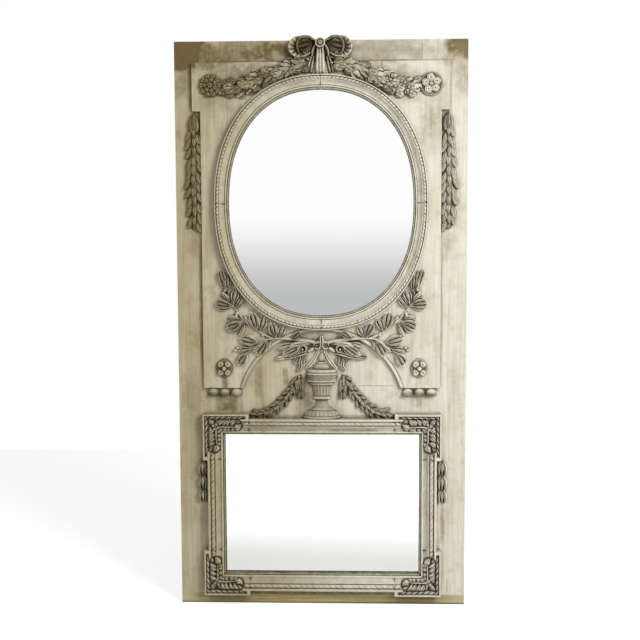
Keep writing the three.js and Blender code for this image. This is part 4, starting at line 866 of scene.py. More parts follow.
def foot_rosette(side):
    """An upright oval flower: four drilled petals about a button, on a low dark dome."""
    low, high = reach(node_at("foot_rosette", side))
    centre = ((low[0] + high[0]) / 2, (low[2] + high[2]) / 2)
    half = ((high[0] - low[0]) / 2, (high[2] - low[2]) / 2)
    disc = [(0, 8, 0.12), (0.55, 8, 0.12), (0.78, 8.5, 0.30), (0.90, 7, 0.62), (0.97, 4, 0.50), (1.0, 1, 0.15),
            (1.0, -0.5, 0.0), (0, -0.5, 0)]
    parts = [turned_boss(centre, disc, FIELD_OUT, sides=40, stretch=half, petals=4, depth=0.025)]
    shape = [(0, 0.45, 0.0), (0.12, 0.5, 0.1), (0.22, 0.92, 0.95), (0.50, 1.0, 1.0), (0.80, 0.75, 0.80),
             (1, 0.1, 0.30), (0.95, -0.3, 0.0), (0, -0.3, 0.0)]
    for k in range(4):
        turn = 2 * np.pi * (k + 0.5) / 4
        place = (centre[0] + 0.55 * half[0] * np.cos(turn), centre[1] + 0.58 * half[1] * np.sin(turn))
        parts.append(turned_boss(place, shape, FIELD_OUT + 5, petals=3, depth=0.06,
                                 size=(12.6, 12.0 + 2 * (k % 2))))
    button = [(0, 16, 1.0), (4.8, 15, 1.0), (7.4, 12, 0.8), (8.4, 6, 0.1), (7.5, 0, 0), (0, 0, 0)]
    return [*parts, turned_boss(centre, button, FIELD_OUT + 6)]


def guttae(side):
    """Three half-round drops side by side under one foot: each swells from a rounded head to a wide lip."""
    low, high = reach(node_at("guttae", side))
    pitch = (high[0] - low[0]) / 3
    parts = []
    # The relief falls from the heads to the lips, which paints the heads as highlights and the lips in painted
    # shade.
    profile = np.array([(0.0, 0.0, 0.9), (0.28, -0.4, 0.95), (0.52, -2.2, 1.0), (0.68, -5.5, 1.0),
                        (0.79, -9.5, 0.80), (0.88, -13.5, 0.34), (0.96, -17.5, 0.17), (1.0, -21.0, 0.16),
                        (1.0, -25.0, 0.10), (0.93, -26.5, 0.0), (0, -27.0, 0.0)])
    turn = np.linspace(0, 2 * np.pi, 36, endpoint=False)[None, :]
    for k in range(3):
        x = low[0] + (k + 0.5) * pitch
        radius = profile[:, :1] * pitch / 2
        points = np.stack([x + radius * np.cos(turn), np.maximum(1.25 * radius * np.sin(turn), -0.5),
                           high[2] - 0.5 + profile[:, 1:2] + 0 * turn], axis=-1)
        parts.append(Surface(points, grid_faces(*points.shape[:2]), np.repeat(profile[:, 2], 36)))
    return parts


# ---------------------------------------------------------------- bow, branches and urn


def bow_loop(side):
    """One loop of the bow, like a shell: a pleated hollow, a bulging ribbon from the knot, and folds below.

    The shell's height at turn a and radius share r is a rim near r = 1 that falls as a power of r to a deep
    crescent, with pleats, cos(13 a), on its outer half only. The rim's radius swells a little at its sides.
    """
    x0, foot, top = beside("bow_loop", side)
    x0, z0 = x0 + 1, 0.5 * (foot + top) + 2
    half = 0.5 * (top - foot) - 2.2
    turn = np.linspace(0, 2 * np.pi, 96, endpoint=False)[None, :]
    r = np.array([0.02, 0.16, 0.30, 0.44, 0.56, 0.66, 0.75, 0.83, 0.90, 0.95, 0.985, 1.0, 1.0])[:, None]
    outer = np.clip(0.5 + 0.9 * np.cos(turn + 0.25), 0, 1)
    pleat = np.cos(13 * turn) * outer * np.clip((r - 0.25) / 0.3, 0, 1) * np.clip((1.02 - r) / 0.2, 0, 1)
    height = 6 + 24 * np.clip((r - 0.12) / 0.80, 0, 1) ** 1.5 * (0.45 + 0.55 * outer) + 2.6 * pleat
    height = height + 5 * (1 - outer) * np.clip((r - 0.6) / 0.35, 0, 1)
    height = np.where(r > 0.93, height - 34 * (r - 0.93), height)
    height[-1] = -0.4
    radius = half * r * (1 + 0.04 * np.cos(2 * turn))
    # Relief is raised on the outer wall, a painted light there. The tones of the lobe and curl lower it, a painted
    # shade on the ribbon by the knot.
    relief = 0.04 + (0.30 + 0.50 * outer) * np.clip((r - 0.30) / 0.45, 0, 1) + 0.30 * pleat
    relief[-1] = 0.1
    points = np.stack([x0 + 0.98 * radius * np.cos(turn), height, z0 + radius * np.sin(turn)], axis=-1)
    shell = capped(points, np.clip(relief + 0 * turn, 0, 1))
    lobe = fan_between((24, z0 + 12), (x0 + 5, z0 + 1), 54, 2.0, 33, 2.4, lobes=3, curl=-0.15, tone=-0.22)
    curl = stem([(26, z0 + 24), (40, z0 + 33), (x0 - 6, z0 + 33), (x0 + 6, z0 + 20), (x0 + 9, z0 + 2),
                 (x0 + 3, z0 - 18), (x0 - 8, z0 - 27)], [6, 6, 6, 5, 4.5, 4, 3], 16, 12, 16.4, rows=40, tone=-0.38)
    folds = [stem([(34, foot + 24), (52, foot + 13), (72, foot + 10), (94, foot + 16), (104, foot + 30)],
                  [4, 5, 5, 4.5, 3], 8, 20, 8.4, rows=36, tone=0.10),
             stem([(32, foot + 12), (50, foot + 5.5), (70, foot + 4), (88, foot + 6)], [4, 4.5, 4.5, 3], 4, 16,
                  4.4, rows=30, tone=0.16),
             leaf_between((38, foot + 34), (64, foot + 15), 17, 8, 20, 8.4, kind="round", veins=2, tone=0.05)]
    return [p.mirrored(side) for p in (shell, lobe, curl, *folds)]


def fluted_fall(line, halves, flutes, base, rise, under, tone=0.0, rows=30, shade=0.85):
    """A pleated strip along a line: its height is base plus rise times the size of the sine of flutes turns."""
    path = smooth_line(line, rows)
    _, left = directions(path)
    s = np.linspace(0, 1, rows)
    half = np.interp(s, np.linspace(0, 1, len(halves)), halves)[:, None]
    t = np.linspace(-1, 1, 8 * flutes + 1)[None, :]
    wave = np.abs(np.sin(0.5 * np.pi * flutes * (t + 1)))
    across = np.concatenate([half * t, -half, half], axis=1)
    end_fall = np.clip(np.minimum(s, 1 - s) / 0.06, 0.35, 1)[:, None]
    out = base + rise * (0.35 + 0.65 * wave) * end_fall
    out = np.concatenate([out, np.full((rows, 2), base - under)], axis=1)
    rings = np.stack([path[:, :1] + left[:, :1] * across, out, path[:, 1:] + left[:, 1:] * across], axis=-1)
    relief = np.concatenate([0.9 - shade + shade * wave + 0 * half, np.full((rows, 2), 0.05)], axis=1)
    return capped(rings, np.clip(relief + tone, 0, 1))


def bow_tie():
    """The bow's button with its small flower, the pleated tie below it, and ribbon folds at both sides."""
    top = PANEL_TOP - BOW_BUTTON_BELOW_TOP
    bottom = OVAL_HIGH[2] + 1.0
    button = [(0, 38.0, 0.35), (9.5, 38.0, 0.35), (10.5, 36.2, 0.1), (12.2, 36.2, 0.1), (13.2, 40.0, 0.95),
              (15.6, 40.0, 1.0), (17.0, 37.5, 0.6), (17.0, 26.0, 0.2), (14.5, 20.0, 0.05), (14.5, -0.4, 0.0),
              (0, -0.4, 0.0)]
    parts = [turned_boss((0, top), button, 0.0, sides=36), *floret((0, top), 8.5, 38.0, 4.0, petals=6)]
    parts.append(fluted_fall([(0, top - 6), (0, 1930), (0, bottom)], [11, 13.5, 15.5, 15.5], 3, 22, 6, 22.4,
                             tone=0.32, shade=0.18))
    for side in (-1, 1):
        fold = fluted_fall([(25, top - 40), (31, 1925), (36, 1904), (39, bottom + 4)], [6, 11, 12, 12], 2, 8, 12,
                           8.4, tone=0.08)
        edge = stem([(13, top - 2), (25, top - 20), (29, top - 44)], [6, 6, 4], 12, 16, 12.4, rows=18, tone=-0.05)
        upper = stem([(12, top + 6), (26, top + 14), (38, top + 20)], [5, 5, 4], 12, 16, 12.4, rows=16, tone=-0.1)
        parts += [p.mirrored(side) for p in (fold, edge, upper)]
    return parts


BRANCH_STEM = [(22, 950), (40, 955), (65, 958), (103, 963), (146, 966), (180, 969), (224, 993), (268, 1027),
               (304, 1071), (321, 1104), (334, 1145), (346, 1166), (350, 1190)]
BRANCH_SHOOT = [(160, 967), (180, 964), (202, 958), (228, 940), (264, 914), (286, 892)]
# Each fan leaf is root (x, z), tip (x, z), width, lobes, rise.
BRANCH_FANS = [
    (332, 1134, 356, 1216, 34, 3, 14), (326, 1122, 328, 1196, 22, 2, 18),
    (310, 1086, 296, 1142, 30, 2, 18), (303, 1072, 270, 1108, 26, 2, 15),
    (311, 1080, 378, 1092, 50, 4, 16),
    (226, 994, 244, 1062, 46, 3, 18), (218, 990, 196, 1044, 30, 2, 17),
    (282, 1024, 334, 1002, 54, 4, 17),
    (158, 968, 180, 1024, 40, 3, 18), (150, 967, 132, 1014, 28, 2, 16),
    (222, 950, 290, 968, 44, 3, 16),
    (192, 960, 226, 902, 42, 3, 16), (244, 930, 292, 922, 26, 2, 15),
    (262, 912, 296, 870, 44, 3, 17),
    (112, 962, 66, 990, 30, 3, 15), (58, 952, 138, 903, 44, 4, 13), (96, 950, 152, 930, 26, 2, 12),
]
# Each plain leaf is root (x, z), tip (x, z), width, bow, rise.
BRANCH_LEAVES = [
    (330, 1126, 343, 1178, 13, 0, 20), (316, 1092, 352, 1128, 15, 3, 17), (232, 1000, 272, 1046, 15, -4, 15),
    (286, 1032, 330, 1040, 14, 4, 15), (270, 1018, 292, 974, 17, -3, 15), (178, 962, 186, 924, 15, 3, 15),
    (208, 952, 246, 918, 15, -3, 18), (30, 946, 116, 938, 21, 5, 17),
]


def branch(side):
    """A climbing stem beside the oval, a shoot over the arch, and the leaves and buds that spring from them."""
    rng = np.random.default_rng(51 if side < 0 else 52)
    base, under = FIELD_OUT, 12.4
    parts = [stem(BRANCH_STEM, [6.5, 6, 5, 4.5, 4, 3.6, 3, 2.4], base, 14, under, rows=90, tone=-0.1),
             stem(BRANCH_SHOOT, [4.6, 4.2, 3.6, 3.0, 2.4], base, 12, under, rows=44, tone=-0.1)]
    for x0, z0, x1, z1, width, lobes, rise in BRANCH_FANS:
        jitter = rng.uniform(-2.5, 2.5, 2)
        parts.append(fan_between((x0, z0), (x1 + jitter[0], z1 + jitter[1]), width, base, rise + 3, under,
                                 lobes=lobes, bow=rng.uniform(-3, 3)))
    for x0, z0, x1, z1, width, bow, rise in BRANCH_LEAVES:
        parts.append(leaf_between((x0, z0), (x1, z1), width, base, rise + 2, under, kind="round", bow=bow,
                                  veins=2, curl=0.1))
    bud = [(0, 15, 0.7), (3.5, 14, 0.65), (5.6, 10, 0.45), (6, 5, 0.05), (5, -12, 0.0), (0, -12, 0.0)]
    for place in ((338, 1136), (300, 1046), (344, 1126), (206, 978), (296, 932), (304, 924), (298, 1054)):
        parts.append(turned_boss(place, bud, base, sides=14))
    return [p.mirrored(side) for p in parts]


def volute(centre, radius, base, rise, turns):
    """A curl: a stem whose line winds in to its middle, the radius shrinking evenly with the turn, and a bead."""
    a = np.linspace(0, 2 * np.pi * turns, 26)
    r = radius * (1 - 0.72 * a / a[-1])
    line = np.stack([centre[0] + r * np.cos(a), centre[1] + r * np.sin(a)], axis=1)
    eye = [(0, rise, 1.0), (0.16 * radius, 0.95 * rise, 0.9), (0.26 * radius, 0.5 * rise, 0.3),
           (0.26 * radius, -base - 0.4, 0.0), (0, -base - 0.4, 0.0)]
    return [stem(line, [0.27 * radius, 0.24 * radius, 0.2 * radius, 0.12 * radius], base, rise, base + 0.4,
                 rows=60),
            turned_boss(centre, eye, base, sides=14)]


def ribbon_knot():
    """The crossed ribbon over the finial: a fluted knot, a small loop to each side and two ties to the urn."""
    z = reach("ribbon_knot")[0][2]
    parts = [fluted_fall([(0, z + 8), (1, z + 26), (0, z + 48)], [5, 8.5, 6], 2, 16, 14, 16.4, tone=0.1)]
    for side in (-1, 1):
        loop = volute((17, z + 12), 9.5, 8, 15, turns=1.05)
        sash = stem([(2, z + 22), (13, z + 25), (25, z + 20)], [5, 5, 4], 10, 15, 10.4, rows=16, tone=0.1)
        fall = stem([(3, z + 14), (8, z + 4), (16, z + 1.5), (24, z + 5)], [4.5, 4, 3.5, 3], 8, 14, 8.4, rows=16)
        tie = fluted_fall([(9, z + 2), (20, z - 26), (37, z - 52), (56, z - 74)], [4, 7, 8, 6.5], 2, 0.5, 6, 1.4,
                          tone=0.1, shade=0.3, rows=24)
        parts += [p.mirrored(side) for p in (*loop, sash, fall, tie)]
    return parts


def ribbon_tail(side):
    """A curled head beside the knot, a ribbon that runs out to a bud, and a wavy one that falls to the swag."""
    parts = volute((66, 927), 17, 6, 26, turns=1.3)
    parts.append(stem([(27, 931), (38, 924), (48, 920)], [5, 6, 5], 6, 16, 6.4, rows=14))
    parts.append(fluted_fall([(50, 916), (76, 909), (104, 901), (132, 896)], [6, 9, 8, 5], 2, 6, 13, 6.4,
                             tone=0.05))
    if side < 0:
        parts.append(leaf_between((122, 899), (168, 891), 17, 6, 15, 6.4, veins=0, tone=0.25))
    else:
        parts.append(leaf_between((108, 902), (160, 903), 11, 6, 13, 6.4, veins=1, bow=3, tone=0.1))
        parts.append(leaf_between((112, 899), (163, 895), 12, 5, 13, 5.4, veins=1, bow=-3, tone=0.1))
    parts.append(fan_between((72, 912), (92, 872), 27, 3, 15, 4.4, lobes=3, bow=3))
    parts.append(fan_between((66, 908), (62, 868), 20, 2, 14, 3.4, lobes=2, bow=-3))
    parts.append(fluted_fall([(76, 886), (73, 868), (80, 856), (78, 846)], [5, 7, 6.5, 5], 2, 3, 14, 4.4,
                             tone=0.05))
    return [p.mirrored(side) for p in parts]


def turned_half(profile, z, flat, sides=72):
    """A half-turned form on the ground: radius r at height h gives (r cos, flat r sin) round an upright axis.

    Each row is (radius, height, relief), and some rows add a count of flutes and their depth, which make the
    radius r * (1 + depth * cos(flutes * turn)).
    """
    profile = np.array([(*row, 0, 0)[:5] for row in profile], float)
    turn = np.linspace(0, 2 * np.pi, sides, endpoint=False)[None, :]
    swell = profile[:, 4:5] * np.cos(profile[:, 3:4] * turn)
    radius = profile[:, :1] * (1 + swell)
    points = np.stack([radius * np.cos(turn), np.maximum(flat * radius * np.sin(turn), -0.4),
                       z + profile[:, 1:2] + 0 * turn], axis=-1)
    relief = np.clip(profile[:, 2:3] + 4.5 * swell, 0, 1)
    return Surface(points, grid_faces(*points.shape[:2]), relief * np.ones_like(turn))


def urn():
    """The urn's foot, fluted cup with its patterned band, and lid: each a half-turned form."""
    z = RECT_HIGH[2]
    foot = [(0, 0.4, 0), (69, 0.4, 0.2), (70, 2, 0.7), (69, 8, 0.8), (66, 10, 0.2), (63, 13, 0.6, 24, 0.03),
            (57, 22, 0.6, 24, 0.045), (50, 28, 0.5, 24, 0.02), (46, 30, 0.1), (42, 33, 0.8), (38, 35, 0.7),
            (30, 39, 0.5), (25, 45, 0.5), (21.5, 54, 0.5), (21, 60, 0.4), (22, 64, 0.15), (22, 67.9, 0.1),
            (0, 67.9, 0)]
    cup = [(0, 68.3, 0), (24, 68.5, 0.1), (31, 70, 0.6), (33, 74, 1.0), (32, 78, 0.6), (28, 80, 0.1),
           (28.5, 84, 0.55, 16, 0.035), (30, 98, 0.55, 16, 0.045), (32, 114, 0.5, 16, 0.035), (33, 118, 0.1),
           (38, 119.5, 0.5), (44, 121, 0.7), (45, 126, 0.6), (44, 129, 0.1), (49, 131, 0.5), (55, 133, 0.9),
           (56, 136, 0.9), (54.5, 138, 0.2), (54.0, 140, 0.45, 14, 0.02), (54.5, 144, 0.45, 14, -0.05),
           (54.5, 149, 0.45, 14, 0.05), (54.5, 153, 0.45, 14, -0.045), (54.5, 156, 0.3), (56, 158, 0.9),
           (56, 161, 0.9), (52, 163, 0.1), (51, 165, 0.6), (53, 170, 0.9), (53, 175, 0.8), (0, 175.9, 0.1)]
    lid = [(0, 176.3, 0), (31, 176.3, 0.1), (30.5, 180, 0.6), (27, 188, 0.8), (22, 193, 0.7), (18, 195, 0.1),
           (19, 197, 0.9), (19, 200, 0.9), (13, 202, 0.1), (9, 204, 0.2), (12, 207, 0.6, 10, 0.04),
           (14, 213, 0.7, 10, 0.06), (11, 221, 0.7, 10, 0.06), (8, 228, 0.8), (4, 235, 0.9), (0, 238, 1.0)]
    return turned_half(foot, z, 0.5, 96), turned_half(cup, z, 0.5, 96), turned_half(lid, z, 0.5, 60)


# ---------------------------------------------------------------- finishes


class Recipe:
    """Short ways of adding shader nodes to one material or world."""

    def __init__(self, owner):
        owner.use_nodes = True
        self.owner = owner
        self.tree = owner.node_tree
        self.tree.nodes.clear()

    def node(self, kind, inputs=(), **settings):
        """A node with its settings, and its inputs set by index or name to a value or another node's output."""
        made = self.tree.nodes.new("ShaderNode" + kind)
        for key, value in settings.items():
            setattr(made, key, value)
        for key, value in dict(inputs).items():
            if isinstance(value, bpy.types.NodeSocket):
                self.tree.links.new(value, made.inputs[key])
            else:
                made.inputs[key].default_value = value
        return made

    @functools.cached_property
    def place(self):
        """The object's own coordinates, in metres."""
        return self.node("TexCoord").outputs["Object"]

    def axes(self):
        """The object's own x, y and z."""
        return self.node("SeparateXYZ", {0: self.place}).outputs

    def maths(self, operation, first, second=0.0, clamp=False):
        """One sum on one or two values."""
        return self.node("Math", {0: first, 1: second}, operation=operation, use_clamp=clamp).outputs[0]

    def vector(self, operation, *inputs, output=0):
        """One sum on one or two vectors."""
        return self.node("VectorMath", dict(enumerate(inputs)), operation=operation).outputs[output]

    def scaled(self, scale):
        """The object's coordinates, scaled."""
        return self.node("Mapping", {"Vector": self.place, "Scale": scale}).outputs[0]

    def noise(self, place, scale, detail=4.0, roughness=0.55):
        """Noise from 0 to 1."""
        inputs = {"Vector": place, "Scale": scale, "Detail": detail, "Roughness": roughness}
        return self.node("TexNoise", inputs).outputs["Fac"]

    def cells(self, scale):
        """The distance to the nearest of many scattered points."""
        return self.node("TexVoronoi", {"Vector": self.place, "Scale": scale}, feature="F1").outputs["Distance"]

    def openness(self, distance):
        """1 on an open surface and less where others stand within the distance."""
        return self.node("AmbientOcclusion", {"Distance": distance}, samples=8).outputs["AO"]

    def between(self, value, low, high, start=0.0, finish=1.0):
        """A value carried smoothly from the range low..high to start..finish."""
        return self.node("MapRange", {0: value, 1: low, 2: high, 3: start, 4: finish}, clamp=True,
                         interpolation_type="SMOOTHSTEP").outputs[0]

    def mix(self, amount, first, second, blend="MIX"):
        """Two colours mixed."""
        inputs = {0: amount}
        for index, value in ((6, first), (7, second)):
            inputs[index] = value if isinstance(value, bpy.types.NodeSocket) else (*value, 1.0)
        return self.node("Mix", inputs, data_type="RGBA", blend_type=blend, clamp_factor=True).outputs[2]

    def offset(self, place, x, z, half_x, half_z):
        """How far a place lies from (x, z) in metres, along x and z, as shares of the halves."""
        moved = self.vector("SUBTRACT", place, (x, 0.0, z))
        return self.vector("MULTIPLY", moved, (1 / half_x, 0.0, 1 / half_z))

    def band(self, place, x, z, half_x, half_z, amount):
        """A soft-edged upright box of some amount round (x, z) in metres: full inside two thirds of its halves."""
        size = self.vector("ABSOLUTE", self.offset(place, x, z, half_x, half_z))
        parts = self.node("SeparateXYZ", {0: size}).outputs
        return self.between(self.maths("MAXIMUM", parts[0], parts[2]), 0.62, 1.0, amount, 0.0)

    def patch(self, place, x, z, half_x, half_z, amount):
        """A soft-edged oval patch of some amount round (x, z) in metres: full at its middle, 0 past its halves."""
        far = self.vector("LENGTH", self.offset(place, x, z, half_x, half_z), output="Value")
        return self.between(far, 0.15, 1.0, amount, 0.0)

    def seen(self):
        """1 for a ray from the camera, a reflection or a refraction, and 0 for all others."""
        path = self.node("LightPath").outputs
        direct = self.maths("MAXIMUM", path["Is Camera Ray"], path["Is Glossy Ray"])
        return self.maths("MAXIMUM", direct, path["Is Transmission Ray"])

    def ended(self, shader):
        """The finished material or world, with this shader as its surface."""
        kind = "OutputWorld" if isinstance(self.owner, bpy.types.World) else "OutputMaterial"
        self.node(kind, {0: shader.outputs[0]})
        return self.owner

    def finish(self, body, roughness, bump=None, **constants):
        """Ends the material in one glossy shader, with a bump if its (height, strength, distance) are given."""
        inputs = {"Base Color": body, "Roughness": roughness}
        inputs.update({key.replace("_", " "): value for key, value in constants.items()})
        if bump:
            inputs["Normal"] = self.node("Bump", dict(zip(("Height", "Strength", "Distance"), bump))).outputs[0]
        return self.ended(self.node("BsdfPrincipled", inputs))


# Soft olive brown patches on the panel, and painted shade under the guttae: middle (x, z), half sizes and amount,
# in metres.
STAINS_AND_SHADE = [
    (-0.49, 1.98, 0.15, 0.13, 2.0), (-0.38, 1.95, 0.20, 0.08, 1.0), (-0.18, 1.965, 0.26, 0.055, 1.15),
    (0.49, 1.975, 0.10, 0.07, 1.5), (0.25, 1.965, 0.34, 0.06, 0.50), (-0.458, 1.55, 0.030, 0.32, 0.25),
    (-0.485, 1.86, 0.05, 0.08, 0.55), (-0.335, 0.722, 0.070, 0.042, 0.60), (-0.36, 1.79, 0.12, 0.06, 0.40),
    (-0.47, 0.74, 0.05, 0.16, 0.35), (0.40, 1.72, 0.07, 0.16, 0.35), (0.49, 1.86, 0.05, 0.09, 0.45),
    (-0.45, 0.33, 0.06, 0.10, 0.10), (0.0, 1.10, 0.15, 0.04, 0.30), (-0.25, 1.88, 0.22, 0.07, 0.75),
    (0.22, 1.865, 0.20, 0.06, 0.65), (0.345, 0.80, 0.03, 0.03, 0.2), (-0.13, 0.975, 0.18, 0.03, 0.30),
    # The strips at z 0.77 under the field's feet are painted shade below the guttae, as well as stain.
    (-0.06, 0.74, 0.06, 0.10, 0.50), (0.06, 0.72, 0.04, 0.06, 0.30), (-0.37, 0.77, 0.10, 0.016, 0.7),
    (0.34, 0.768, 0.09, 0.014, 0.6),
]
# Brown runs under the carving, listed in the same way.
RUNS = [
    (-0.33, 1.01, 0.016, 0.055, 0.50), (-0.345, 0.806, 0.018, 0.040, 0.8), (-0.445, 1.295, 0.03, 0.07, 0.7),
    (0.43, 0.295, 0.013, 0.10, 0.80), (0.445, 1.295, 0.024, 0.06, 0.5), (0.49, 1.95, 0.07, 0.08, 0.5),
    (0.345, 0.735, 0.06, 0.03, 0.25), (0.30, 1.80, 0.07, 0.03, 0.4), (-0.10, 1.86, 0.10, 0.03, 0.4),
    (0.12, 1.93, 0.16, 0.02, 0.5), (-0.25, 1.00, 0.10, 0.03, 0.35), (0.26, 1.00, 0.09, 0.03, 0.3),
    (-0.44, 0.66, 0.02, 0.12, 0.5), (0.47, 0.82, 0.03, 0.14, 0.25), (-0.05, 1.925, 0.10, 0.02, 0.5),
]
# Lines and strips of dark colour: seams between boards, cracks, sharp-edged runs, and painted shadows beside the
# field's edges, beside and under the lower frame, under its ears and left of the urn.
LINES_AND_SHADOWS = [
    (0.195, 0.795, 0.085, 0.0015, 0.70), (-0.352, 1.963, 0.0014, 0.037, 0.75), (0.352, 1.963, 0.0014, 0.037, 0.65),
    (-0.325, 1.81, 0.0014, 0.12, 0.7), (-0.19, 1.90, 0.0014, 0.03, 0.7), (0.211, 1.90, 0.0016, 0.03, 0.8),
    (0.448, 0.066, 0.0016, 0.036, 0.8), (-0.014, 0.978, 0.0016, 0.016, 0.7), (0.0, 0.0342, 0.52, 0.0018, 0.9),
    # On this line and the next, the strips beside the left edges of the lower frame and the field, and the one
    # under the frame, are painted shadow. The two on the right are dark lines along the right edges.
    (0.434, 0.33, 0.0045, 0.30, 0.22), (-0.434, 0.33, 0.0065, 0.30, 0.35), (-0.4268, 1.06, 0.0075, 0.275, 0.50),
    (-0.4555, 1.84, 0.0085, 0.085, 0.65), (0.4245, 1.06, 0.0035, 0.275, 0.30), (0.0, 0.044, 0.424, 0.018, 0.80),
    (0.0, 0.684, 0.40, 0.008, 0.35), (-0.004, 1.9290, 0.450, 0.0035, 0.60), (-0.225, 0.808, 0.017, 0.066, 0.50),
    (-0.128, 0.828, 0.012, 0.036, 0.60), (-0.345, 0.806, 0.012, 0.034, 0.60), (-0.340, 0.727, 0.050, 0.028, 0.70),
    (0.11, 0.6365, 0.10, 0.007, 0.55), (-0.07, 0.6365, 0.07, 0.006, 0.30), (0.02, 0.6225, 0.16, 0.002, 0.45),
    # On this line and the next, the strip at x -0.047 left of the urn and the two at z 0.018 under the frame's
    # ears are painted shadow.
    (0.345, 0.735, 0.012, 0.020, 0.35), (-0.047, 0.775, 0.020, 0.075, 0.55), (-0.34, 0.018, 0.085, 0.02, 0.55),
    (0.34, 0.018, 0.085, 0.02, 0.50), (-0.478, 0.755, 0.0030, 0.055, 0.35),
]


